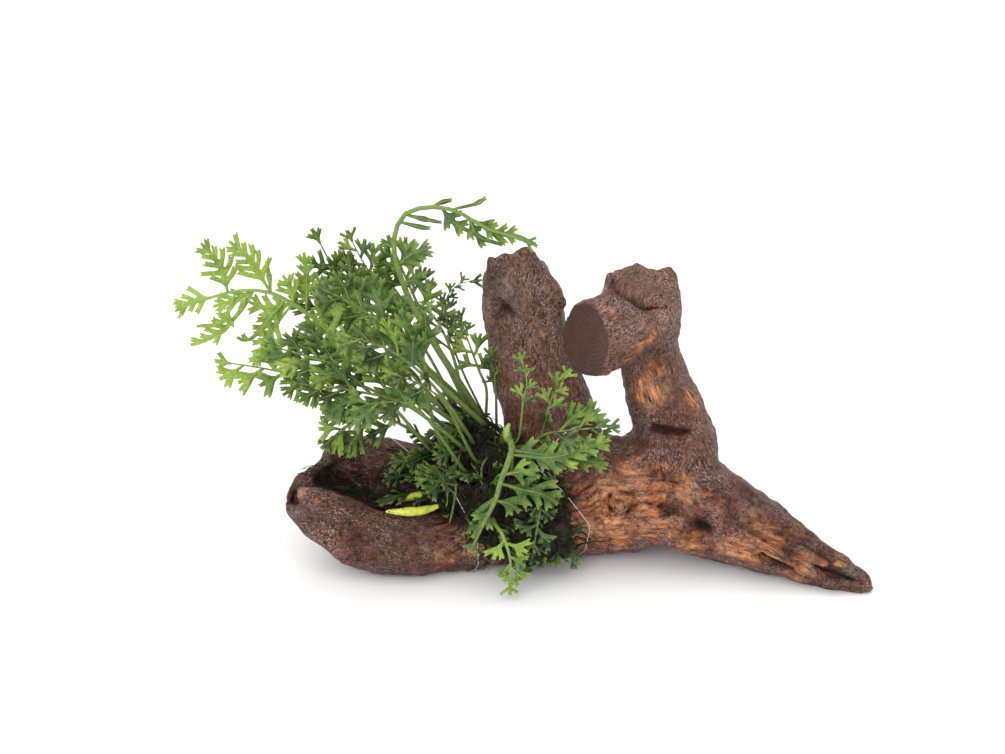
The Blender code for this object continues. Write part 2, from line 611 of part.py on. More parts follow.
def build_frond(frond, spine, leaflets, finish):
    """A ribbon for the stem, grown out sideways into leaflets and then made solid."""
    bm = bmesh.new()
    thickness = bm.verts.layers.deform.verify()
    shares = stem_shares(frond, spine)
    rows = []
    for share in shares:
        place, side, half = spine.at(share), spine.across(share), spine.half(share)
        places = [place + side * half, place - side * half]
        if rows:
            rows.append(extend(bm, thickness, rows[-1], places, 2 * half / spine.width))
        else:
            rows.append([bm.verts.new(point) for point in places])
            bm.edges.new(rows[0])
            for vert in rows[0]:
                vert[thickness][0] = 1
    thin = LEAF_THICKNESS / spine.width
    for number in range(len(frond.pairs)):
        row = STEM_PIECES + 2 * number
        for column, side in enumerate((1, -1)):
            outline = leaflets.get((number, side))
            if outline:
                base = [rows[row][column], rows[row + 1][column]]
                wide = extend(bm, thickness, base, outline[1], thin)
                end = extend(bm, thickness, wide, [outline[2], outline[2]], thin)
                bmesh.ops.pointmerge(bm, verts=end, merge_co=outline[2])
    bmesh.ops.recalc_face_normals(bm, faces=bm.faces)
    mesh = bpy.data.meshes.new(frond.name)
    bm.to_mesh(mesh)
    bm.free()
    obj = add_object(frond.name, mesh, finish)
    obj.vertex_groups.new(name="thickness")
    solid = obj.modifiers.new("thickness", "SOLIDIFY")
    solid.thickness = spine.width
    solid.offset = 0
    solid.vertex_group = "thickness"
    solid.thickness_vertex_group = 0
    return obj


def build_fronds(finish, ground, mat, held):
    spines = [stand_stem(frond, mat) for frond in FRONDS]
    taken = held + [tube_tree(spine, TEST_SHARES, 0) for spine in spines]
    for number, (frond, spine) in enumerate(zip(FRONDS, spines)):
        own_stem = len(held) + number
        others = taken[:own_stem] + taken[own_stem + 1:]
        leaflets = {}
        for place, pair in enumerate(frond.pairs):
            for side in (1, -1):
                outline = fit_leaflet(spine, pair, side, ground, others)
                if outline:
                    leaflets[place, side] = outline
                    tree = leaflet_tree(outline, 0)
                    others.append(tree)
                    taken.append(tree)
        build_frond(frond, spine, leaflets, finish)


clear_scene()
bark = material("wet driftwood", (0.12, 0.045, 0.025), 0.4)
roots = material("wet roots", (0.02, 0.022, 0.012), 0.5)
young = material("young rhizome", (0.62, 0.7, 0.16), 0.4)
nylon = material("nylon thread", (0.7, 0.72, 0.68), 0.25)
leaf = material("fern leaf", (0.1, 0.3, 0.05), 0.4)
build_wood(bark)
trunk, stump = bpy.data.objects["driftwood_trunk"], bpy.data.objects["driftwood_left_stump"]
mat = build_root_mat(roots)
ground = [tree_of(trunk), tree_of(stump), tree_of(mat)]
tips = [build_growing_tip(name, young, ground) for name in GROWING_TIPS]
threads = [build_thread(name, nylon, [trunk, mat, *tips]) for name in THREAD_TURNS]
build_fronds(leaf, ground, ground[2], [tree_of(obj) for obj in tips + threads])
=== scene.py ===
# %% [markdown]
# # A water fern tied to driftwood
# A young African water fern with finely lobed leaves sits on a forked piece of driftwood, held by two
# turns of nylon thread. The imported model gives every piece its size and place. This lesson puts a
# detailed mesh in the place of each plain solid, and finishes it with materials made of nodes.

# %% Load the frame
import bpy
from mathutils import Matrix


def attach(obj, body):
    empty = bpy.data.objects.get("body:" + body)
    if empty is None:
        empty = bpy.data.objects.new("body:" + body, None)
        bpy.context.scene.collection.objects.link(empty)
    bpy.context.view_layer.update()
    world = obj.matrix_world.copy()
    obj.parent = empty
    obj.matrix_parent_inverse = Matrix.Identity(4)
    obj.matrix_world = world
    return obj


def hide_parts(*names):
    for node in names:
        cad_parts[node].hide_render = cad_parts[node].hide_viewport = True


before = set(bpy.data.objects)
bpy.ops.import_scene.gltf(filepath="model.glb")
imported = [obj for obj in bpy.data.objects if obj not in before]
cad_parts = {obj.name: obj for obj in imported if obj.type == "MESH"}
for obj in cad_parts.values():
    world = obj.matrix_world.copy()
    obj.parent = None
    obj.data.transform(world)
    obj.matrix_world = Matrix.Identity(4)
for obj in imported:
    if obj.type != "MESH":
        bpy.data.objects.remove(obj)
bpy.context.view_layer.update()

# %% Import what the lesson uses
import math
import random
from collections import namedtuple

import bmesh
import bpy
import numpy as np
from mathutils import Matrix, Vector, geometry, noise
from mathutils.bvhtree import BVHTree

MM = 0.001

# %% [markdown]
# ## Camera
# The photograph looks down on the wood at about 30 degrees with a long lens. Its picture is 1005 by
# 754 pixels. The camera comes first, because a feature of the wood that is measured in the photograph
# is found by a ray from the camera through its pixel. A guess by eye would be slower and less exact.

# %% Set up the camera
PICTURE_SIZE = (1005, 754)
CAMERA_TARGET = Vector((-6.075, 0, 56.43)) * MM
CAMERA_ELEVATION = math.radians(30)
CAMERA_DISTANCE = 700 * MM
SENSOR_WIDTH = 36
FOCAL_LENGTH = 92.87
view_direction = Vector((0, math.cos(CAMERA_ELEVATION), -math.sin(CAMERA_ELEVATION)))
view_up = Vector((0, math.sin(CAMERA_ELEVATION), math.cos(CAMERA_ELEVATION)))
view_right = Vector((1, 0, 0))
camera_data = bpy.data.cameras.new("camera")
camera_data.lens = FOCAL_LENGTH
camera_data.sensor_width = SENSOR_WIDTH
camera = bpy.data.objects.new("camera", camera_data)
camera.location = CAMERA_TARGET - view_direction * CAMERA_DISTANCE
camera.rotation_euler = (math.pi / 2 - CAMERA_ELEVATION, 0, 0)
bpy.context.scene.collection.objects.link(camera)
bpy.context.scene.camera = camera
print("camera at", camera.location[:])


# %% Find places in the photograph
def pixel_ray(pixel):
    """The direction from the camera through a pixel of the photograph."""
    scale = SENSOR_WIDTH / FOCAL_LENGTH / PICTURE_SIZE[0]
    right = (pixel[0] - PICTURE_SIZE[0] / 2) * scale
    up = (PICTURE_SIZE[1] / 2 - pixel[1]) * scale
    return (view_direction + view_right * right + view_up * up).normalized()


def at_depth(pixel, depth):
    """The place behind a pixel where y is the depth, in metres."""
    ray = pixel_ray(pixel)
    return camera.location + ray * ((depth - camera.location.y) / ray.y)


print("middle of the picture", at_depth((502.5, 377), 0)[:])

# %% [markdown]
# ## Floor and light
# The photograph was taken on a white sweep in soft light from above and in front. A large pale floor,
# a white sky and two big area lights give the same soft shadow under the wood. A small hard lamp would
# draw sharp shadows that the photograph doesn't have.

# %% Build the floor
FLOOR_SIZE = 6.0
floor_mesh = bpy.data.meshes.new("floor")
bm = bmesh.new()
bmesh.ops.create_grid(bm, x_segments=1, y_segments=1, size=FLOOR_SIZE / 2)
bm.to_mesh(floor_mesh)
bm.free()
floor = bpy.data.objects.new("floor", floor_mesh)
bpy.context.scene.collection.objects.link(floor)
floor_paint = bpy.data.materials.new("white sweep")
floor_paint.use_nodes = True
floor_shader = floor_paint.node_tree.nodes["Principled BSDF"]
floor_shader.inputs["Base Color"].default_value = (0.94, 0.94, 0.945, 1)
floor_shader.inputs["Roughness"].default_value = 0.85
floor_mesh.materials.append(floor_paint)


# %% Add the lights
def soft_light(name, place, size, power):
    """A square area light that looks at the middle of the object."""
    data = bpy.data.lights.new(name, "AREA")
    data.size = size
    data.energy = power
    lamp = bpy.data.objects.new(name, data)
    lamp.location = place
    lamp.rotation_euler = (Vector((0, 0, 0.03)) - lamp.location).to_track_quat("-Z", "Y").to_euler()
    bpy.context.scene.collection.objects.link(lamp)


SKY_BRIGHTNESS = 0.93
soft_light("top light", Vector((-0.15, 0.1, 1.2)), 1.4, 7)
soft_light("front light", Vector((-0.5, -0.95, 0.8)), 0.9, 6)
sky = bpy.data.worlds.new("white sky")
sky.use_nodes = True
sky.node_tree.nodes["Background"].inputs["Color"].default_value = (1, 1, 1, 1)
sky.node_tree.nodes["Background"].inputs["Strength"].default_value = SKY_BRIGHTNESS
bpy.context.scene.world = sky
bpy.context.scene.view_settings.view_transform = "Standard"
print("lights", [item.name for item in bpy.data.lights])

# %% [markdown]
# ## Tools for meshes
# A few small helpers are used by every step: one adds a mesh to the scene, one gives back a mesh with
# its modifiers applied, and one makes a new even skin round a mesh. A new skin of small squares closes
# the saw cuts between the solids, because on the real object the wood grew as one piece.

# %% Add objects and apply modifiers
def add_object(name, mesh):
    obj = bpy.data.objects.new(name, mesh)
    bpy.context.scene.collection.objects.link(obj)
    return obj


def applied(obj):
    """A new mesh with the object's modifiers applied. The object itself is removed."""
    graph = bpy.context.evaluated_depsgraph_get()
    made = bpy.data.meshes.new_from_object(obj.evaluated_get(graph), depsgraph=graph)
    old = obj.data
    bpy.data.objects.remove(obj)
    bpy.data.meshes.remove(old)
    return made


# %% Copy solids and give them a new skin
WELD = 0.02 * MM


def welded_copy(names, swell):
    """The CAD solids of these nodes in one mesh, each swollen a little so that they overlap."""
    bm = bmesh.new()
    for name in names:
        bm.from_mesh(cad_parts[name].data)
    bmesh.ops.remove_doubles(bm, verts=bm.verts, dist=WELD)
    bm.normal_update()
    for vert in bm.verts:
        vert.co += vert.normal * swell
    mesh = bpy.data.meshes.new("welded " + names[0])
    bm.to_mesh(mesh)
    bm.free()
    return mesh


def new_skin(mesh, voxel, rounds):
    """An even skin of squares round the mesh, smoothed a number of times."""
    obj = add_object("skin", mesh)
    skin = obj.modifiers.new("skin", "REMESH")
    skin.mode = "VOXEL"
    skin.voxel_size = voxel
    smooth = obj.modifiers.new("smooth", "SMOOTH")
    smooth.iterations = rounds
    return applied(obj)


# %% Read and move the points of a mesh
def places_of(mesh):
    """The points of a mesh as rows of x, y and z in millimetres."""
    places = np.empty(len(mesh.vertices) * 3, np.float32)
    mesh.vertices.foreach_get("co", places)
    return places.reshape(-1, 3).astype(np.float64) / MM


def outward(mesh):
    """The outward direction at each point."""
    normals = np.empty(len(mesh.vertices) * 3, np.float32)
    mesh.vertex_normals.foreach_get("vector", normals)
    return normals.reshape(-1, 3).astype(np.float64)


def put_places(mesh, places):
    mesh.vertices.foreach_set("co", (places * MM).astype(np.float32).ravel())
    mesh.update()


def push_out(mesh, heights):
    """Moves each point outwards by its height in millimetres."""
    put_places(mesh, places_of(mesh) + outward(mesh) * heights[:, None])


def store(mesh, name, values):
    """Keeps one number, or three, for each point, where a material can read them."""
    kind = "FLOAT" if values.ndim == 1 else "FLOAT_VECTOR"
    layer = mesh.attributes.new(name, kind, "POINT")
    field = "value" if values.ndim == 1 else "vector"
    layer.data.foreach_set(field, values.astype(np.float32).ravel())


def rough(places, size, octaves=3):
    """Smooth noise from about -1 to 1 at each place. Size is the width of its lumps in millimetres."""
    return np.array([noise.fractal(Vector(place) / size, 1.0, 2.0, octaves) for place in places])


# %% [markdown]
# ## Driftwood
# The wood is a forked root that lay under water until only its hard heart was left. Limbs, lobes and
# stumps flow into each other. The copy of the four solids is swollen by a hair so that they overlap,
# gets one skin, is smoothed, and then gets its creases, pits and knots pushed into it. A sculptor works
# in the same order, large shapes first. Modelling every dent by hand with extrusions would be endless.

# %% Join the four solids in one skin
WOOD_NODES = ["driftwood_trunk", "driftwood_left_stump", "driftwood_right_stump", "driftwood_sawn_branch"]
wood_mesh = new_skin(welded_copy(WOOD_NODES, 0.28 * MM), 1.1 * MM, 6)
wood_mesh = new_skin(wood_mesh, 0.6 * MM, 3)
wood_mesh.name = "driftwood"
print("driftwood skin", len(wood_mesh.polygons), "squares")

# %% [markdown]
# ### The run of the grain
# Wood fibres run along each limb. Every point of the skin gets a grain place: its offset from the
# limb's middle line, with the run along the line pressed together. Noise that is read there comes out
# drawn along the limb, as fibres are. Object coordinates alone would draw it the same way round on
# every limb. A second place is pressed less, for the short strokes of the wet fur of fibres.

# %% Lay the middle lines of the limbs
GRAIN_PRESS = 0.16
FUR_PRESS = 0.6
LIMB_LINES = {
    "trunk": [(-66, -6, 20), (-48, -9, 12), (-29, -8, 9), (2, 0, 11.5), (21, 5, 17), (43, 1, 16.3),
              (69, -9, 9.4), (85, -16, 4.6), (98, -22, 2)],
    "back ridge": [(-58, 8, 25), (-44, 13, 22), (-24, 12, 16.5), (2, 8, 14)],
    "front ridge": [(-62, -9, 25), (-46, -12, 20), (-30, -11, 13)],
    "left stump": [(10, 10, 19), (5, 16, 41.5), (0.5, 21, 59.5), (-3, 23, 90)],
    "right stump": [(41, 6, 21.5), (39.5, 12, 39), (34.6, 15, 53.5), (33, 16, 66), (31, 17.5, 86)],
    "sawn branch": [(33, 15, 68.5), (20, 5, 67.5), (8, -4, 67)],
}


def nearest_on_line(places, line):
    """For each place: the nearest point of the line and how far off it is."""
    best = np.full(len(places), 1e9)
    nearest = np.zeros_like(places)
    for start, end in zip(np.array(line[:-1], float), np.array(line[1:], float)):
        run = end - start
        share = np.clip((places - start) @ run / (run @ run), 0, 1)
        spot = start + share[:, None] * run
        distance = np.linalg.norm(places - spot, axis=1)
        nearer = distance < best
        best[nearer] = distance[nearer]
        nearest[nearer] = spot[nearer]
    return nearest, best


def middle_places(places):
    """The point in the middle of the limb that each place belongs to, blended where limbs meet."""
    found = [nearest_on_line(places, line) for line in LIMB_LINES.values()]
    distances = np.stack([item[1] for item in found])
    weights = np.exp(-(distances - distances.min(axis=0)) / 2.5)
    weights /= weights.sum(axis=0)
    return sum(weight[:, None] * nearest for weight, (nearest, _) in zip(weights, found))


# %% [markdown]
# ### Creases, pits and knots
# These are the marks that show in the photograph, each found by its pixels: the cleft under the cap of the right
# stump, the hole and the knot in the trunk, and the slits in the thin end. A ray from the camera finds where each
# one lies on the skin. The hidden side gets no marks of its own, only the noise lumps, furrows and pimples that
# cover the whole skin.

# %% Name the marks seen in the photograph
Mark = namedtuple("Mark", "pixels width height")
MARKS_SEEN = {
    "head cleft": Mark([(612, 281), (622, 292), (634, 300), (648, 307), (660, 306)], 1.5, -2.4),
    "head dip": Mark([(622, 276), (655, 280)], 2.4, -0.7),
    "cap rim": Mark([(622, 286), (640, 296), (656, 299), (668, 292)], 1.6, 0.8),
    "sawn nub": Mark([(606, 371)], 1.8, 1.5),
    "sawn scar": Mark([(609, 312), (608, 330)], 1.2, -0.6),
    "branch pit": Mark([(640, 318)], 1.2, -0.7),
    "right stump crease": Mark([(650, 427), (665, 430), (680, 432), (690, 431)], 1.0, -2.8),
    "right stump lip": Mark([(645, 437), (665, 440), (690, 441)], 2.0, 0.9),
    "right stump furrow": Mark([(656, 372), (660, 395), (664, 415)], 1.2, -0.8),
    "right stump rib": Mark([(645, 375), (646, 400), (650, 420)], 1.6, 0.7),
    "left stump recess": Mark([(492, 306), (504, 312)], 2.6, -2.4),
    "left stump hollow": Mark([(543, 305), (546, 312)], 2.0, -0.9),
    "left stump ridge": Mark([(504, 353), (512, 344), (520, 334)], 1.6, 1.1),
    "left stump hump": Mark([(549, 282), (556, 290)], 3.0, 1.0),
    "left stump groove": Mark([(516, 262), (520, 290), (516, 318)], 1.6, -0.9),
    "left stump scar": Mark([(548, 325), (552, 345), (560, 362)], 2.8, -0.8),
    "left stump lower rib": Mark([(560, 372), (574, 390), (588, 412)], 2.2, 0.9),
    "trunk knot": Mark([(622, 503)], 1.7, 1.5),
    "knot ring left": Mark([(610, 496), (608, 504), (612, 513)], 1.0, -2.2),
    "knot ring right": Mark([(620, 490), (633, 494), (635, 504), (627, 514)], 1.0, -2.0),
    "knot brow": Mark([(600, 492), (598, 506), (606, 520)], 1.6, 1.1),
    "trunk hollow": Mark([(662, 507), (674, 513)], 2.0, -2.4),
    "trunk hole": Mark([(699, 526), (707, 530)], 1.5, -2.8),
    "hole brow": Mark([(690, 517), (704, 517), (716, 524)], 1.6, 0.8),
    "trunk swell": Mark([(570, 520), (600, 528), (640, 530)], 4.0, 0.9),
    "trunk furrow one": Mark([(560, 500), (585, 486), (610, 478), (640, 472), (680, 478)], 1.6, -0.9),
    "trunk furrow two": Mark([(570, 535), (600, 540), (640, 536), (680, 532)], 1.5, -0.8),
    "trunk furrow three": Mark([(650, 470), (700, 490), (740, 512)], 1.5, -0.7),
    "tail ridge": Mark([(720, 470), (760, 500), (800, 530), (840, 556)], 1.8, 0.8),
    "tail slit": Mark([(762, 555), (775, 563), (790, 571)], 1.0, -3.0),
    "tail rib": Mark([(755, 545), (795, 566), (835, 583)], 1.3, 0.9),
    "tail long furrow": Mark([(740, 528), (785, 552), (815, 566)], 1.0, -1.1),
    "tail second slit": Mark([(806, 543), (818, 550), (832, 561)], 0.8, -1.5),
    "tail gap": Mark([(818, 569), (834, 574), (852, 580)], 1.0, -3.0),
    "tail furrow": Mark([(735, 520), (770, 540), (800, 556)], 1.3, -0.8),
    "tip knob": Mark([(858, 567)], 1.2, 0.8),
    "lobe crease": Mark([(345, 523), (358, 519), (372, 519), (386, 524), (400, 528)], 1.1, -1.1),
    "lobe second crease": Mark([(330, 545), (360, 550), (400, 552)], 1.4, -0.6),
    "lobe valley": Mark([(322, 479), (340, 487), (362, 496), (392, 508)], 2.0, -1.8),
    "lobe nose": Mark([(300, 490), (304, 492)], 1.9, 1.0),
    "lobe rim": Mark([(289, 503), (295, 511), (303, 516)], 1.2, 0.8),
    "curl hole": Mark([(292, 491), (293, 498)], 1.3, -2.6),
    "fissure one": Mark([(315, 467), (322, 462), (332, 457)], 0.9, -1.0),
    "fissure two": Mark([(322, 472), (332, 467), (340, 462)], 0.9, -0.9),
    "back ridge dent": Mark([(352, 452), (372, 462), (392, 474)], 2.2, -0.8),
    "lobe end gap": Mark([(487, 556), (487, 566)], 1.0, -1.6),
}


# %% Name the edges that stand further out
# Broken corners and swellings reach past the smooth skin. Each is pulled whole: the pixel of its
# middle, how wide it is and how far it goes, in millimetres.
Pull = namedtuple("Pull", "pixel width reach")
PULLS_SEEN = {
    "left stump corner": Pull((494, 280), 3.0, (-1.2, 0, 6.5)),
    "left stump top": Pull((506, 271), 3.0, (0, 0, 4.2)),
    "left stump peak": Pull((528, 267), 3.6, (0, 0, 5.0)),
    "left stump shoulder": Pull((550, 285), 3.0, (1.0, 0, 0.6)),
    "left stump knob": Pull((558, 301), 2.6, (2.2, -0.4, 0)),
    "left stump flank": Pull((575, 375), 4.0, (1.2, 0, 0)),
    "head spike": Pull((614, 281), 3.2, (-1.0, 0, 2.4)),
    "head bump": Pull((636, 272), 2.0, (0, 0, 2.8)),
    "head right": Pull((666, 279), 2.8, (0.8, 0, 3.4)),
    "head top": Pull((650, 274), 5.0, (0, 0, 1.2)),
    "head flank": Pull((675, 305), 4.0, (1.0, 0, 0)),
    "sawn lower edge": Pull((592, 366), 2.6, (0, 0, -1.2)),
    "right stump flank": Pull((680, 362), 4.0, (0.6, 0, 0.3)),
    "lobe underside": Pull((300, 521), 4.0, (2.4, 1.0, 0.6)),
    "lobe lower edge": Pull((335, 549), 3.6, (-0.4, -0.6, -1.0)),
    "lobe back ridge": Pull((342, 446), 5.0, (-1.0, 0, 3.4)),
    "lobe notch": Pull((318, 462), 3.6, (1.2, 0, -1.0)),
    "tail top": Pull((845, 564), 2.0, (0.3, 0, 1.0)),
    "tail tip": Pull((864, 578), 1.8, (1.0, 0, 1.0)),
    "tail underside": Pull((800, 578), 3.0, (0, -0.8, -0.8)),
}


# %% Find the marks on the skin
def finder(mesh):
    """A search tree of the mesh, in metres."""
    bm = bmesh.new()
    bm.from_mesh(mesh)
    tree = BVHTree.FromBMesh(bm)
    bm.free()
    return tree


wood_tree = finder(wood_mesh)


def on_wood(pixel):
    """Where the camera's ray through a pixel meets the wood, in millimetres, or None past its edge."""
    place, _, _, _ = wood_tree.ray_cast(camera.location, pixel_ray(pixel))
    return None if place is None else np.array(place) / MM


def gap_to(places, line):
    """How far each place is from a line of one or more points."""
    if len(line) == 1:
        return np.linalg.norm(places - line[0], axis=1)
    return nearest_on_line(places, line)[1]


def mark_heights(places, mark):
    """The push in or out at each place that makes one mark."""
    line = [found for found in map(on_wood, mark.pixels) if found is not None]
    if not line:
        return np.zeros(len(places))
    return mark.height * np.exp(-(gap_to(places, line) / mark.width) ** 2)


# %% Pull the edges out
wood_places = places_of(wood_mesh)
for pull in PULLS_SEEN.values():
    middle = on_wood(pull.pixel)
    if middle is not None:
        near = np.exp(-(np.linalg.norm(wood_places - middle, axis=1) / pull.width) ** 2)
        wood_places += near[:, None] * np.array(pull.reach, float)
put_places(wood_mesh, wood_places)
print("pulls off the wood:", [name for name, pull in PULLS_SEEN.items() if on_wood(pull.pixel) is None])
wood_tree = finder(wood_mesh)

# %% Push the large shapes in and out
wood_marks = sum(mark_heights(wood_places, mark) for mark in MARKS_SEEN.values())
missed = [name for name, mark in MARKS_SEEN.items() if on_wood(mark.pixels[0]) is None]
lumps = 0.75 * rough(wood_places, 10, 2) + 0.3 * rough(wood_places + 17, 4, 2)
push_out(wood_mesh, wood_marks + lumps - 0.15)
print("marks off the wood:", missed)

# %% Push the fibres and pimples in and out
wood_places = places_of(wood_mesh)
wander = np.stack([rough(wood_places + shift, 13, 2) for shift in (0, 40, 80)], axis=1)
middles = middle_places(wood_places)
wood_grain = wood_places - (1 - GRAIN_PRESS) * middles + 2.2 * wander
wood_fur = wood_places - (1 - FUR_PRESS) * middles + 2.2 * wander
furrows = rough(wood_grain, 2.6, 3)
ribs = 1 - np.abs(rough(wood_grain + 31, 4.2, 2)) * 2
pimples = rough(wood_places, 1.5, 2)
wood_relief = 0.34 * furrows + 0.16 * ribs + 0.13 * pimples
push_out(wood_mesh, wood_relief)
wood_places = places_of(wood_mesh)
wood_places[:, 2] = np.maximum(wood_places[:, 2], 0.0)
put_places(wood_mesh, wood_places)
print("relief from", round(wood_relief.min(), 2), "to", round(wood_relief.max(), 2), "mm")

# %% [markdown]
# ### Where the wood changes colour
# Wet wood isn't one colour. The trunk's middle is torn open to orange fibre and the stumps are worn gray, while the
# valleys, creases and holes get painted black shade. Each of these is a soft mask over the skin: patches round
# places that the photograph shows, stored as numbers that the material mixes colours with.

# %% Store the colour masks
Patch = namedtuple("Patch", "pixel radius strength")
ORANGE_PATCHES = [
    Patch((600, 500), 9, 0.8), Patch((640, 492), 10, 1.0), Patch((672, 486), 8, 0.8), Patch((575, 530), 9, 0.9),
    Patch((615, 530), 9, 0.9), Patch((655, 520), 9, 0.9), Patch((555, 545), 6, 0.7), Patch((648, 392), 5, 1.0),
    Patch((652, 339), 2.2, 1.0), Patch((301, 491), 2.6, 0.8), Patch((470, 543), 4, 0.9), Patch((446, 556), 6, 0.5),
    Patch((690, 545), 7, 0.6), Patch((745, 555), 7, 0.6), Patch((790, 530), 6, 0.45), Patch((610, 312), 2.4, 0.7),
    Patch((542, 335), 2.6, 0.5), Patch((715, 500), 6, 0.35), Patch((800, 575), 5, 0.7),
    Patch((628, 358), 2.2, 1.0), Patch((640, 348), 2.4, 1.0), Patch((760, 530), 8, 0.5), Patch((735, 548), 6, 0.8),
    Patch((770, 548), 5, 0.9), Patch((800, 562), 4, 0.9), Patch((840, 562), 3, 0.7), Patch((690, 400), 4, 0.7), Patch((655, 375), 4, 0.7), Patch((820, 568), 4, 0.6), Patch((470, 543), 3, 1.0),
]
GRAY_PATCHES = [
    Patch((495, 282), 7, 0.9), Patch((520, 300), 7, 0.5), Patch((500, 335), 6, 0.6), Patch((325, 465), 4, 0.9),
    Patch((298, 512), 2.6, 0.9), Patch((487, 563), 2.4, 0.9), Patch((690, 345), 6, 0.4), Patch((700, 385), 6, 0.5),
    Patch((755, 500), 9, 0.45), Patch((800, 545), 7, 0.4), Patch((640, 428), 4, 0.6), Patch((853, 570), 4, 0.8),
    Patch((400, 545), 10, 0.35), Patch((370, 455), 8, 0.3), Patch((630, 310), 6, 0.35), Patch((560, 410), 7, 0.4),
]
# Painted shade: black painted into the holes, creases and valleys of the wood and next to the mat.
PAINTED_SHADE_PATCHES = [
    Patch((350, 488), 7, 1.0), Patch((385, 496), 8, 1.0), Patch((325, 480), 4.5, 0.9), Patch((497, 309), 4.5, 1.0),
    Patch((292, 494), 2.6, 1.0), Patch((703, 528), 2.2, 1.0), Patch((622, 503), 1.8, 0.9), Patch((667, 510), 3, 1.0),
    Patch((670, 430), 2.4, 0.8), Patch((657, 428), 1.6, 0.6), Patch((682, 432), 1.6, 0.6), Patch((775, 563), 2, 1.0), Patch((835, 574), 2.6, 1.0), Patch((638, 303), 2.5, 0.9),
    Patch((430, 470), 9, 0.8), Patch((470, 500), 9, 0.8), Patch((530, 500), 8, 0.6), Patch((520, 350), 6, 0.3),
    Patch((605, 560), 5, 0.6), Patch((488, 556), 2, 1.0), Patch((590, 548), 5, 0.4), Patch((690, 470), 5, 0.4),
]


def mask_of(patches):
    """A soft mask from 0 to 1 over the wood, strongest at each patch."""
    mask = np.zeros(len(wood_mesh.vertices))
    for patch in patches:
        place = on_wood(patch.pixel)
        if place is not None:
            spread = np.exp(-(gap_to(wood_places, [place]) / patch.radius) ** 2)
            mask = np.maximum(mask, patch.strength * spread)
    return mask


hidden = np.clip((wood_places[:, 1] - 12) / 16, 0, 1)
hidden_orange = hidden * np.clip(rough(wood_places + 7, 22, 2) * 1.6, 0, 0.7)
hidden_gray = hidden * np.clip(rough(wood_places + 63, 18, 2) * 1.6, 0, 0.7)
# Painted shade: every hollow of the relief is darkened, more the deeper it goes.
cavity_shade = 0.85 * np.clip(-(wood_relief + 0.35 * wood_marks) / 0.8, 0, 1)
dryness = np.clip((wood_places[:, 2] - 30) / 35, 0, 1)
store(wood_mesh, "grain", wood_grain)
store(wood_mesh, "fur", wood_fur)
store(wood_mesh, "dryness", dryness)
store(wood_mesh, "orange", np.maximum(mask_of(ORANGE_PATCHES), hidden_orange))
store(wood_mesh, "gray", np.maximum(mask_of(GRAY_PATCHES), hidden_gray))
store(wood_mesh, "dark", np.maximum(mask_of(PAINTED_SHADE_PATCHES), cavity_shade))

# %% Mark the sawn face
SAWN_PLACE = np.array((17.7, 0.6, 67.5))
SAWN_HEADING = np.array((-0.8, -0.55, 0.22)) / np.linalg.norm((-0.8, -0.55, 0.22))
RING_CENTRE = np.array(at_depth((591, 331), 0.6 * MM)) / MM
from_face = (wood_places - SAWN_PLACE) @ SAWN_HEADING
facing = outward(wood_mesh) @ SAWN_HEADING
near_face = np.clip(1.4 - np.abs(from_face + 0.2) / 1.6, 0, 1) * np.clip((facing - 0.55) * 4, 0, 1)
near_face *= np.linalg.norm(wood_places - SAWN_PLACE, axis=1) < 16
from_centre = wood_places - RING_CENTRE
ring_distance = np.linalg.norm(from_centre - (from_centre @ SAWN_HEADING)[:, None] * SAWN_HEADING, axis=1)
flat_share = np.clip(near_face * 1.6, 0, 1) * np.clip(1.6 - np.abs(from_face) / 1.5, 0, 1)
put_places(wood_mesh, wood_places - (from_face * flat_share)[:, None] * SAWN_HEADING)
store(wood_mesh, "sawn", near_face)
store(wood_mesh, "ring", ring_distance)
print("points on the sawn face", int((near_face > 0.5).sum()))

# %% [markdown]
# ## Materials: shared effects
# Two effects come back in several finishes. Mottling mixes two colours by noise and gives the same noise out as a
# height, so that light spots also stand up. Specks are small dots, such as dark pores and painted glints on bark or
# black spots on a shoot. Each is built once as a node group with named sockets.

# %% Make node groups
def new_group(name, inputs, outputs):
    """An empty shader node group with the given sockets, and its input and output nodes."""
    group = bpy.data.node_groups.new(name, "ShaderNodeTree")
    for label, kind, value in inputs:
        socket = group.interface.new_socket(label, in_out="INPUT", socket_type=kind)
        if value is not None:
            socket.default_value = value
    for label, kind in outputs:
        group.interface.new_socket(label, in_out="OUTPUT", socket_type=kind)
    return group, group.nodes.new("NodeGroupInput"), group.nodes.new("NodeGroupOutput")


def math_node(tree, operation, first, second=None, clamp=False):
    """A Math node whose values are numbers or sockets. Gives its output."""
    node = tree.nodes.new("ShaderNodeMath")
    node.operation = operation
    node.use_clamp = clamp
    for socket, value in zip(node.inputs, (first, second)):
        if isinstance(value, (int, float)):
            socket.default_value = value
        elif value is not None:
            tree.links.new(value, socket)
    return node.outputs[0]


def noise_node(tree, vector, scale, detail=4.0, roughness=0.6, distortion=0.0):
    """A Noise Texture read at a vector socket. Gives its Factor output."""
    node = tree.nodes.new("ShaderNodeTexNoise")
    tree.links.new(vector, node.inputs["Vector"])
    if isinstance(scale, (int, float)):
        node.inputs["Scale"].default_value = scale
    else:
        tree.links.new(scale, node.inputs["Scale"])
    node.inputs["Detail"].default_value = detail
    node.inputs["Roughness"].default_value = roughness
    node.inputs["Distortion"].default_value = distortion
    return node.outputs["Fac"]


def mixed(tree, share, first, second, blend="MIX"):
    """A colour mix. Each colour is a socket or three numbers. Gives the mixed colour."""
    node = tree.nodes.new("ShaderNodeMix")
    node.data_type = "RGBA"
    node.blend_type = blend
    if isinstance(share, (int, float)):
        node.inputs[0].default_value = share
    else:
        tree.links.new(share, node.inputs[0])
    for socket, colour in ((node.inputs[6], first), (node.inputs[7], second)):
        if isinstance(colour, tuple):
            socket.default_value = (*colour, 1)
        else:
            tree.links.new(colour, socket)
    return node.outputs[2]


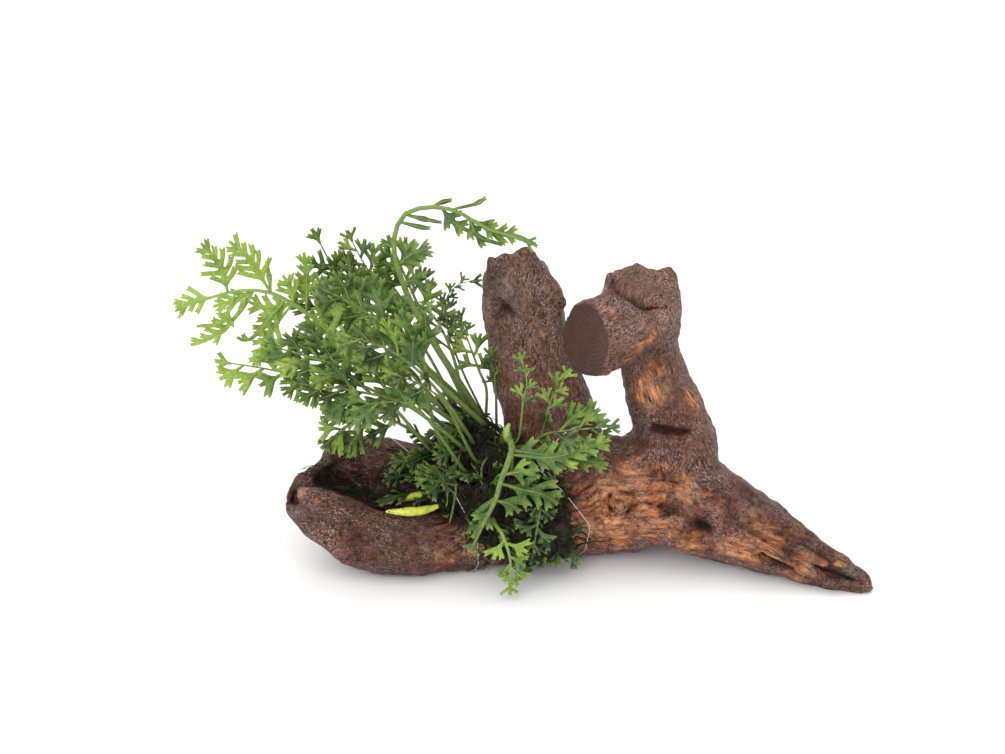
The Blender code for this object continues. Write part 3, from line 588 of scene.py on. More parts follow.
def stretched(tree, value, low, high):
    """The value with low taken to 0 and high to 1."""
    node = tree.nodes.new("ShaderNodeMapRange")
    node.clamp = True
    node.inputs["From Min"].default_value = low
    node.inputs["From Max"].default_value = high
    tree.links.new(value, node.inputs["Value"])
    return node.outputs["Result"]


# %% Build the mottling group
mottling, inside, out = new_group(
    "mottling",
    [("Vector", "NodeSocketVector", None), ("Scale", "NodeSocketFloat", 1.0),
     ("Low colour", "NodeSocketColor", (0.1, 0.1, 0.1, 1)), ("High colour", "NodeSocketColor", (0.5, 0.5, 0.5, 1))],
    [("Colour", "NodeSocketColor"), ("Height", "NodeSocketFloat")])
coarse = noise_node(mottling, inside.outputs["Vector"], inside.outputs["Scale"], 6, 0.68)
height = stretched(mottling, coarse, 0.38, 0.63)
mottling.links.new(
    mixed(mottling, height, inside.outputs["Low colour"], inside.outputs["High colour"]), out.inputs["Colour"])
mottling.links.new(height, out.inputs["Height"])

# %% Build the specks group
specks, inside, out = new_group(
    "specks",
    [("Vector", "NodeSocketVector", None), ("Scale", "NodeSocketFloat", 1.0), ("Amount", "NodeSocketFloat", 0.4)],
    [("Mask", "NodeSocketFloat")])
fine = noise_node(specks, inside.outputs["Vector"], inside.outputs["Scale"], 3, 0.75, 0.4)
over = math_node(specks, "ADD", fine, inside.outputs["Amount"])
specks.links.new(stretched(specks, over, 1.0, 1.08), out.inputs["Mask"])


def use_group(tree, group, vector, **values):
    """A copy of a group in a material, with its own values. An underscore stands for a space."""
    node = tree.nodes.new("ShaderNodeGroup")
    node.node_tree = group
    tree.links.new(vector, node.inputs["Vector"])
    for name, value in values.items():
        socket = node.inputs[name.replace("_", " ")]
        if isinstance(value, (int, float)):
            socket.default_value = value
        elif isinstance(value, tuple):
            socket.default_value = (*value, 1)
        else:
            tree.links.new(value, socket)
    return node


# %% Start a material
def new_material(name):
    """A material, its node tree and its Principled shader."""
    made = bpy.data.materials.new(name)
    made.use_nodes = True
    return made, made.node_tree, made.node_tree.nodes["Principled BSDF"]


def stored(tree, name, output="Fac"):
    """A value that the mesh holds for each point. Output is Fac for a number and Vector for three."""
    node = tree.nodes.new("ShaderNodeAttribute")
    node.attribute_name = name
    return node.outputs[output]


def object_place(tree):
    """The place on the object in millimetres."""
    node = tree.nodes.new("ShaderNodeTexCoord")
    scale = tree.nodes.new("ShaderNodeMapping")
    scale.inputs["Scale"].default_value = (1000, 1000, 1000)
    tree.links.new(node.outputs["Object"], scale.inputs["Vector"])
    return scale.outputs["Vector"]


def bump(tree, shader, height, strength, distance):
    """Makes the surface seem to rise with the height. Distance is how far, in metres."""
    node = tree.nodes.new("ShaderNodeBump")
    node.inputs["Strength"].default_value = strength
    node.inputs["Distance"].default_value = distance
    tree.links.new(height, node.inputs["Height"])
    tree.links.new(node.outputs["Normal"], shader.inputs["Normal"])


# %% [markdown]
# ## Wet driftwood finish
# The bark-free wood is dark red-brown, orange where fibres are torn open and gray where it is worn.
# It is wet, so a thin clear coat and fine bumps catch light, and pale painted glints are mixed into the colour as
# well. Fibre noise drawn along the grain mixes the browns, dark pores are dotted in, and the stored masks bring in
# orange, gray, and black painted shade in the holes and hollows.

# %% Mix the wood colours
BARK_DARK = (0.030, 0.0085, 0.0045)
BARK_LIGHT = (0.245, 0.098, 0.058)
DRY_DARK = (0.066, 0.028, 0.018)
DRY_LIGHT = (0.35, 0.19, 0.13)
FIBRE_DARK = (0.07, 0.014, 0.003)
FIBRE_LIGHT = (0.95, 0.42, 0.165)
WORN_DARK = (0.055, 0.038, 0.031)
WORN_LIGHT = (0.26, 0.20, 0.175)
# Black for the dark pores, and for the painted shade in holes and hollows.
PORE_AND_SHADE_BLACK = (0.008, 0.005, 0.004)
# Pale colour for painted glints of light.
PAINTED_GLINT = (0.52, 0.43, 0.39)
SAWN_DARK = (0.088, 0.043, 0.032)
SAWN_LIGHT = (0.140, 0.078, 0.060)
SHADE_RED = (0.66, 0.50, 0.44)
SHADE_PALE = (1.32, 1.30, 1.28)

wood_finish, tree, shader = new_material("wet driftwood")
grain = stored(tree, "grain", "Vector")
fur = stored(tree, "fur", "Vector")
place = object_place(tree)
dry = use_group(tree, mottling, fur, Scale=1.3, Low_colour=DRY_DARK, High_colour=DRY_LIGHT)
bark = use_group(tree, mottling, fur, Scale=0.9, Low_colour=BARK_DARK, High_colour=BARK_LIGHT)
fibre = use_group(tree, mottling, grain, Scale=0.8, Low_colour=FIBRE_DARK, High_colour=FIBRE_LIGHT)
worn = use_group(tree, mottling, place, Scale=0.75, Low_colour=WORN_DARK, High_colour=WORN_LIGHT)
edge = noise_node(tree, place, 0.35, 4, 0.65)


def broken(mask, low, high):
    """A mask with ragged edges: noise is added to it and the middle is stretched."""
    ragged = math_node(tree, "ADD", mask, math_node(tree, "MULTIPLY", math_node(tree, "SUBTRACT", edge, 0.5), 1.5))
    return stretched(tree, ragged, low, high)


orange_share = broken(stored(tree, "orange"), 0.25, 0.75)
gray_share = broken(stored(tree, "gray"), 0.2, 0.8)
# Painted shade: the black in holes, creases and hollows, with ragged edges.
painted_shade_share = broken(stored(tree, "dark"), 0.3, 0.95)
colour = mixed(tree, stored(tree, "dryness"), bark.outputs["Colour"], dry.outputs["Colour"])
colour = mixed(tree, orange_share, colour, fibre.outputs["Colour"])
colour = mixed(tree, gray_share, colour, worn.outputs["Colour"])
ring_wave = math_node(tree, "SINE", math_node(tree, "MULTIPLY", stored(tree, "ring"), 5.2))
ring_share = stretched(tree, math_node(tree, "ADD", ring_wave, math_node(tree, "MULTIPLY", edge, 6)), 1.2, 4.8)
sawn_colour = mixed(tree, ring_share, SAWN_DARK, SAWN_LIGHT)
broad = stretched(tree, noise_node(tree, place, 0.075, 5, 0.6), 0.36, 0.64)
colour = mixed(tree, 1.0, colour, mixed(tree, broad, SHADE_RED, SHADE_PALE), "MULTIPLY")
pores = use_group(tree, specks, fur, Scale=2.0, Amount=0.47)
colour = mixed(tree, math_node(tree, "MULTIPLY", pores.outputs["Mask"], 0.45), colour, PORE_AND_SHADE_BLACK)
# Painted glints: pale specks mixed into the colour, gathered in patches by a broad noise.
glints = use_group(tree, specks, fur, Scale=2.6, Amount=0.48)
painted_glint_spread = noise_node(tree, place, 0.12, 3, 0.6)
painted_glint_share = math_node(tree, "MULTIPLY", glints.outputs["Mask"], stretched(tree, painted_glint_spread, 0.38, 0.62))
colour = mixed(tree, math_node(tree, "MULTIPLY", painted_glint_share, 0.75), colour, PAINTED_GLINT)
colour = mixed(tree, stored(tree, "sawn"), colour, sawn_colour)
# Painted shade is laid over everything in the holes, creases and hollows.
colour = mixed(tree, math_node(tree, "MULTIPLY", painted_shade_share, 0.9), colour, PORE_AND_SHADE_BLACK)
tree.links.new(colour, shader.inputs["Base Color"])

# %% Roughen and wet the wood
fine_fibre = noise_node(tree, grain, 2.6, 5, 0.7)
fine_place = noise_node(tree, fur, 1.7, 5, 0.75)
wood_height = math_node(tree, "ADD", math_node(tree, "MULTIPLY", bark.outputs["Height"], 0.8),
                        math_node(tree, "ADD", fine_fibre, fine_place))
bump(tree, shader, wood_height, 1.0, 0.5 * MM)
tree.links.new(stretched(tree, fine_place, -0.6, 1.3), shader.inputs["Roughness"])
shader.inputs["Specular IOR Level"].default_value = 0.22
shader.inputs["Coat Weight"].default_value = 0.1
shader.inputs["Coat Roughness"].default_value = 0.1
wood_mesh.materials.clear()
wood_mesh.materials.append(wood_finish)
wood_mesh.shade_smooth()
driftwood = add_object("driftwood", wood_mesh)
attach(driftwood, "root")
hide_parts(*WOOD_NODES)
print("driftwood triangles", sum(len(face.vertices) - 2 for face in wood_mesh.polygons))

# %% [markdown]
# ## A smooth line with a direction at every place
# Stems, leaflets, roots and shoots all follow lines. A line here is a smooth curve through a few
# points, cut into even steps, that can say where it is, which way it runs and which way its upper side
# looks at any distance along it.

# %% Smooth a route
LINE_STEPS = 40


def smooth_points(points, steps=LINE_STEPS):
    """Even points on a smooth curve through the given ones."""
    points = [np.array(point, float) for point in points]
    if len(points) == 2:
        points.insert(1, (points[0] + points[1]) / 2)
    padded = [2 * points[0] - points[1], *points, 2 * points[-1] - points[-2]]
    dense = []
    for before, start, end, after in zip(padded, padded[1:], padded[2:], padded[3:]):
        for share in np.linspace(0, 1, 12, endpoint=False):
            bend = 2 * before - 5 * start + 4 * end - after
            turn = 3 * (start - end) + after - before
            dense.append(start + 0.5 * share * (end - before + share * (bend + share * turn)))
    dense.append(points[-1])
    dense = np.array(dense)
    lengths = np.concatenate([[0], np.cumsum(np.linalg.norm(np.diff(dense, axis=0), axis=1))])
    even = np.linspace(0, lengths[-1], steps + 1)
    return np.stack([np.interp(even, lengths, dense[:, axis]) for axis in range(3)], axis=1), lengths[-1]


def unit(vector):
    return vector / np.linalg.norm(vector)


class Line:
    """A smooth route whose upper side looks roughly in one direction."""

    def __init__(self, points, facing):
        self.points, self.length = smooth_points(points)
        self.headings = np.gradient(self.points, axis=0)
        self.headings /= np.linalg.norm(self.headings, axis=1)[:, None]
        self.facing = unit(np.array(facing, float))

    def at(self, distance):
        """Place, heading, side and upper direction at a distance in millimetres."""
        step = np.clip(distance / self.length, 0, 1) * LINE_STEPS
        low = int(min(step, LINE_STEPS - 1))
        share = step - low
        place = self.points[low] * (1 - share) + self.points[low + 1] * share
        heading = unit(self.headings[low] * (1 - share) + self.headings[low + 1] * share)
        place = place + heading * (distance - np.clip(distance, 0, self.length))
        upper = unit(self.facing - (self.facing @ heading) * heading)
        return place, heading, np.cross(upper, heading), upper


# %% Extrude a tube along a line
def tube(bm, line, radii, sides, stations, begin=0.0, grooved=0.0, marks=()):
    """A round stem along a line: one ring, extruded from station to station.

    The radii stand at even steps along it. Marks are values kept at each point: a name and the value
    at the start and at the end.
    """
    made = bmesh.ops.create_circle(bm, cap_ends=True, radius=1, segments=sides)["verts"]
    ring = sorted(made, key=lambda vert: math.atan2(vert.co.y, vert.co.x))
    turns = [math.atan2(vert.co.y, vert.co.x) for vert in ring]
    depths = [1 - grooved * (number % 2) for number in range(sides)]
    for number in range(stations + 1):
        share = number / stations
        place, _, side, upper = line.at(line.length * (begin + (1 - begin) * share))
        radius = np.interp(share, np.linspace(0, 1, len(radii)), radii)
        if number:
            edges = [bm.edges.get((one, other)) for one, other in zip(ring, ring[1:] + ring[:1])]
            fresh = bmesh.ops.extrude_edge_only(bm, edges=edges)["geom"]
            fresh = {item for item in fresh if isinstance(item, bmesh.types.BMVert)}
            ring = [next(edge.other_vert(old) for edge in old.link_edges if edge.other_vert(old) in fresh)
                    for old in ring]
        for vert, turn, depth in zip(ring, turns, depths):
            reach = radius * depth
            vert.co = place + side * (reach * math.cos(turn)) + upper * (reach * math.sin(turn))
            for name, first, last in marks:
                vert[bm.verts.layers.float[name]] = first + (last - first) * share
    edges = [bm.edges.get((one, other)) for one, other in zip(ring, ring[1:] + ring[:1])]
    bmesh.ops.contextual_create(bm, geom=edges)
    for face in bm.faces:
        face.smooth = True


def mesh_from(bm, name):
    """The bmesh as a mesh in metres. The bmesh is freed."""
    bmesh.ops.recalc_face_normals(bm, faces=bm.faces)
    bmesh.ops.scale(bm, vec=(MM, MM, MM), verts=bm.verts)
    mesh = bpy.data.meshes.new(name)
    bm.to_mesh(mesh)
    bm.free()
    return mesh


# %% [markdown]
# ## Root mat
# The fern's creeping rhizome and its wiry roots make a dark wet tangle over the trunk, highest at the
# crown that the fronds rise from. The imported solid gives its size. It gets a new skin with lumps, and
# then hundreds of fine roots are walked over it: each step goes on a little, turns a little, and drops
# back on to the nearest surface. Curves with a round bevel are quick for that, and become one mesh.

# %% Shape the body of the mat
CROWN = np.array((-13, 8, 30))
CROWN_SPREAD = np.array((13, 11, 16))
CROWN_RISE = 6.5
mat_mesh = new_skin(welded_copy(["root_mat"], 0.1 * MM), 0.75 * MM, 4)
mat_places = places_of(mat_mesh)
crown_share = np.exp(-(((mat_places - CROWN) / CROWN_SPREAD) ** 2).sum(axis=1))
mat_places += crown_share[:, None] * np.array((-0.25, 0, 1)) * CROWN_RISE
put_places(mat_mesh, mat_places)
push_out(mat_mesh, 1.9 * rough(mat_places, 4.5, 3) + 0.9 * rough(mat_places, 1.8, 2) - 0.5)
print("mat skin", len(mat_mesh.polygons), "squares")

# %% Join the surfaces that roots and thread lie on
ground = bmesh.new()
ground.from_mesh(wood_mesh)
ground.from_mesh(mat_mesh)
ground_tree = BVHTree.FromBMesh(ground)
ground.free()
mat_tree = finder(mat_mesh)


def on_ground(pixel):
    """Where the camera's ray through a pixel meets the wood or the mat, in millimetres."""
    place, _, _, _ = ground_tree.ray_cast(camera.location, pixel_ray(pixel))
    return None if place is None else np.array(place) / MM


# %% Walk the roots over the surface
ROOT_COUNT = 470
ROOT_STRIDE = 1.3
Root = namedtuple("Root", "points radius")
growth = random.Random(11)


def walked_root(start, heading, strides, radius, pull=0.12):
    """A root that creeps over the ground from a start, in millimetres."""
    place = Vector(start)
    heading = Vector(heading).normalized()
    points = []
    lift = radius + growth.uniform(0, 1.1)
    for _ in range(strides):
        found, normal, _, _ = ground_tree.find_nearest(place * MM)
        place = found / MM + normal * lift
        place.z = max(place.z, radius)
        points.append(place.copy())
        sway = Vector([growth.uniform(-1, 1) for _ in range(3)])
        heading = heading + sway * 0.32 + Vector((0, 0, -pull))
        heading = (heading - normal * heading.dot(normal) * 0.9).normalized()
        place = place + heading * ROOT_STRIDE
    return Root(points, radius)


mat_spots = places_of(mat_mesh)
roots = []
for _ in range(ROOT_COUNT):
    spot = mat_spots[growth.randrange(len(mat_spots))]
    away = Vector((growth.uniform(-1, 1), growth.uniform(-1, 0.6), growth.uniform(-0.6, 0.3)))
    radius = growth.choice((0.12, 0.16, 0.22, 0.32, 0.42))
    roots.append(walked_root(spot, away, growth.randint(6, 13), radius))

# %% Add the roots that the photograph shows past the mat
VALLEY_START = (402, 512)
VALLEY_END = (322, 479)
DARK_ROOT_PIXELS = [(552, 512), (563, 522), (577, 527), (590, 539), (603, 553)]
STUB_PIXELS = [(606, 549), (611, 556)]
valley_start = on_ground(VALLEY_START)
valley_run = on_ground(VALLEY_END) - valley_start
for number in range(56):
    begin = valley_start + valley_run * growth.uniform(-0.1, 0.75) + np.array((0, growth.uniform(-3, 5), 0))
    strides = growth.randint(8, 20)
    roots.append(walked_root(begin, valley_run, strides, growth.choice((0.10, 0.15, 0.22)), 0.02))
for pixels, radius in ((DARK_ROOT_PIXELS, 0.28), (STUB_PIXELS, 0.45)):
    found = [on_ground(pixel) for pixel in pixels]
    points = [place + np.array((0, -0.3, 0.15)) for place in found if place is not None]
    roots.append(Root([Vector(point) for point in points], radius))
print(len(roots), "roots")


# %% Turn the roots into one mesh
def strands_mesh(name, strands, sides_level=0):
    """Round strands as one mesh, each a little thinner at its end."""
    curve = bpy.data.curves.new(name, "CURVE")
    curve.dimensions = "3D"
    curve.bevel_depth = 1 * MM
    curve.bevel_resolution = sides_level
    curve.use_fill_caps = True
    for strand in strands:
        spline = curve.splines.new("NURBS")
        spline.points.add(len(strand.points) - 1)
        spline.order_u = 3
        spline.use_endpoint_u = True
        spline.resolution_u = 2
        for number, (point, place) in enumerate(zip(spline.points, strand.points)):
            point.co = (*(place * MM), 1)
            point.radius = strand.radius * (1 - 0.5 * number / len(strand.points))
    obj = bpy.data.objects.new(name, curve)
    bpy.context.scene.collection.objects.link(obj)
    graph = bpy.context.evaluated_depsgraph_get()
    mesh = bpy.data.meshes.new_from_object(obj.evaluated_get(graph), depsgraph=graph)
    bpy.data.objects.remove(obj)
    bpy.data.curves.remove(curve)
    mesh.shade_smooth()
    return mesh


roots_mesh = strands_mesh("roots", roots)
print("roots", len(roots_mesh.polygons), "faces")

# %% Stand dead stalks in the crown
STALK_COUNT = 26
stalks = bmesh.new()
for _ in range(STALK_COUNT):
    foot = CROWN + CROWN_SPREAD * np.array([growth.uniform(-0.9, 0.9) for _ in range(3)])
    foot = np.array(mat_tree.find_nearest(Vector(foot) * MM)[0]) / MM
    lean = np.array((growth.uniform(-1.1, 0.3), growth.uniform(-0.5, 0.5), growth.uniform(0.3, 1.0)))
    reach = growth.uniform(3, 9)
    sag = np.array((growth.uniform(-2, 1), growth.uniform(-1, 1), growth.uniform(-1, 0.5)))
    stalk = Line([foot - unit(lean), foot + unit(lean) * reach / 2, foot + unit(lean) * reach + sag], (0, -1, 0.1))
    width = growth.uniform(0.3, 0.75)
    tube(stalks, stalk, (width, width * 0.8, width * 0.5), 7, 8)
stalks_mesh = mesh_from(stalks, "stalks")

# %% [markdown]
# ### Wet root finish
# The roots are nearly black and wiry, with brown where they are younger, and shine because they are
# wet. Mottling mixes the two, and a low roughness brings out the small white glints.

# %% Finish the roots
ROOT_BLACK = (0.003, 0.0035, 0.002)
ROOT_BROWN = (0.034, 0.022, 0.010)
MOSS_GREEN = (0.020, 0.042, 0.006)

root_finish, tree, shader = new_material("wet roots")
place = object_place(tree)
wiry = use_group(tree, mottling, place, Scale=0.45, Low_colour=ROOT_BLACK, High_colour=ROOT_BROWN)
mossy = stretched(tree, noise_node(tree, place, 0.3, 5, 0.65), 0.5, 0.6)
colour = mixed(tree, math_node(tree, "MULTIPLY", mossy, 0.7), wiry.outputs["Colour"], MOSS_GREEN)
tree.links.new(colour, shader.inputs["Base Color"])
grit = noise_node(tree, place, 1.7, 5, 0.7)
bump(tree, shader, math_node(tree, "ADD", grit, wiry.outputs["Height"]), 1.0, 0.5 * MM)
shader.inputs["Roughness"].default_value = 0.3
shader.inputs["Specular IOR Level"].default_value = 0.25
shader.inputs["Coat Weight"].default_value = 0.15
shader.inputs["Coat Roughness"].default_value = 0.08

# %% [markdown]
# ## Growing tips
# Two young ends of the rhizome creep out of the mat into the valley. They are swollen, bright
# yellow-green, and spotted with black where they are bruised. A tube along a line, with a blunt end and
# gentle lumps, is rounded by a Subdivision Surface.

# %% Finish and build the growing tips
TIP_YELLOW = (0.74, 0.78, 0.11)
TIP_GREEN = (0.42, 0.52, 0.05)
TIP_SPOT = (0.05, 0.03, 0.01)
GROWING_TIPS = {
    "growing_tip_upper": ([(-27.5, -1.0, 19.6), (-30.5, -1.2, 19.0), (-33, -1.5, 18.6), (-35.4, -1.2, 18.2)],
                          (1.0, 1.15, 1.3, 1.15, 1.05, 0.5)),
    "growing_tip_lower": ([(-23.5, -8.8, 20.6), (-28.5, -10, 19.9), (-32.5, -10.3, 19.8), (-38.2, -9.6, 19.4)],
                          (0.6, 0.9, 1.35, 1.2, 1.35, 1.1, 0.75, 0.35)),
}

shoot_finish, tree, shader = new_material("young rhizome")
place = object_place(tree)
flesh = use_group(tree, mottling, place, Scale=0.7, Low_colour=TIP_GREEN, High_colour=TIP_YELLOW)
spots = use_group(tree, specks, place, Scale=0.9, Amount=0.40)
colour = mixed(tree, math_node(tree, "MULTIPLY", spots.outputs["Mask"], 0.9), flesh.outputs["Colour"], TIP_SPOT)
tree.links.new(colour, shader.inputs["Base Color"])
bump(tree, shader, flesh.outputs["Height"], 0.4, 0.2 * MM)
shader.inputs["Roughness"].default_value = 0.35
shader.inputs["Subsurface Weight"].default_value = 0.15
shader.inputs["Subsurface Scale"].default_value = 1 * MM
for name, (route, radii) in GROWING_TIPS.items():
    shoot = bmesh.new()
    tube(shoot, Line(route, (0, -0.5, 0.85)), radii, 10, 18)
    for vert in shoot.verts:
        vert.co += Vector(noise.noise_vector(vert.co / 2.2)) * 0.16
    mesh = mesh_from(shoot, name)
    mesh.materials.append(shoot_finish)
    tip = add_object("fern_" + name, mesh)
    rounding = tip.modifiers.new("rounding", "SUBSURF")
    rounding.levels = 2
    rounding.render_levels = 2
    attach(tip, "root")
    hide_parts(name)
    print(name, len(mesh.polygons), "faces before rounding")

# %% [markdown]
# ## Tie threads
# Two turns of clear nylon thread hold the mat down. A taut thread takes the shortest way round, so each
# turn is the outline of a cut through wood and mat with every hollow bridged: the convex hull of the
# cut. Its points are found with one bisect and a hull in the plane of the turn.

# %% Find the turns of the thread
THREAD_RADIUS = 0.15
THREAD_TOP = 37
THREAD_TURNS = {
    "tie_thread_left": ((-33, 10, 29), (0.79, 0.6, 0.08)),
    "tie_thread_right": ((9.0, -8, 30), (0.65, 0.73, 0.2)),
}
LOOSE_STRAND_PIXELS = [(546, 458), (552, 447), (560, 437), (569, 430), (578, 426), (590, 424), (600, 428)]


def taut_turn(point, normal):
    """The thread's points round wood and mat in the plane, in millimetres."""
    bm = bmesh.new()
    bm.from_mesh(wood_mesh)
    bm.from_mesh(mat_mesh)
    everything = bm.verts[:] + bm.edges[:] + bm.faces[:]
    cut = bmesh.ops.bisect_plane(bm, geom=everything, plane_co=Vector(point) * MM, plane_no=normal)["geom_cut"]
    places = [vert.co / MM for vert in cut if isinstance(vert, bmesh.types.BMVert)]
    places = [place for place in places if place.z < THREAD_TOP]
    bm.free()
    across = Vector((0, 0, 1)).cross(Vector(normal)).normalized()
    along = Vector(normal).normalized().cross(across)
    flat = [((place - Vector(point)).dot(across), (place - Vector(point)).dot(along)) for place in places]
    outline = [flat[number] for number in geometry.convex_hull_2d(flat)]
    middle = np.mean(outline, axis=0)
    turn = []
    for start, end in zip(outline, outline[1:] + outline[:1]):
        steps = max(1, round(math.dist(start, end) / 1.5))
        for step in range(steps):
            spot = np.array(start) + (np.array(end) - np.array(start)) * step / steps
            spot = spot + unit(spot - middle) * THREAD_RADIUS
            place = Vector(point) + across * spot[0] + along * spot[1]
            place.z = max(place.z, 0.25)
            turn.append(place)
    return turn


# %% Finish and build the threads
NYLON = (0.78, 0.80, 0.80)
NYLON_SHADE = (0.55, 0.58, 0.58)

thread_finish, tree, shader = new_material("nylon thread")
place = object_place(tree)
strand = use_group(tree, mottling, place, Scale=0.8, Low_colour=NYLON_SHADE, High_colour=NYLON)
tree.links.new(strand.outputs["Colour"], shader.inputs["Base Color"])
bump(tree, shader, strand.outputs["Height"], 0.15, 0.05 * MM)
shader.inputs["Roughness"].default_value = 0.18
shader.inputs["Coat Weight"].default_value = 0.5
loose = [on_ground(pixel) for pixel in LOOSE_STRAND_PIXELS]
loose = [Vector(place) + Vector((0, -0.35, 0.25)) for place in loose if place is not None]
loose += [Vector((24, 20, 30)), Vector((22, 27, 22))]
for name, (point, normal) in THREAD_TURNS.items():
    turn = taut_turn(point, normal)
    strands = [Root(turn + turn[:2], THREAD_RADIUS)]
    if name == "tie_thread_right":
        strands.append(Root(loose, THREAD_RADIUS * 0.9))
    mesh = strands_mesh(name, strands, 2)
    mesh.materials.append(thread_finish)
    thread = add_object("nylon_" + name, mesh)
    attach(thread, "root")
    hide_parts(name)
    print(name, round(sum((b - a).length for a, b in zip(turn, turn[1:]))), "mm round")

# %% [markdown]
# ## Fern fronds
# Each frond is a stem with leaflets on both sides, and each leaflet is cut into blunt fingers with
# small teeth, much like parsley. A leaflet starts as one short edge. Extruding that edge makes a strip,
# and extruding the strip's side edges makes the fingers. A Subdivision Surface rounds the outline and
# a Solidify gives it the thickness of a leaf. Each leaflet is made flat, as paper would be cut, and is
# then laid along its own curved line, so that no two fall the same way.

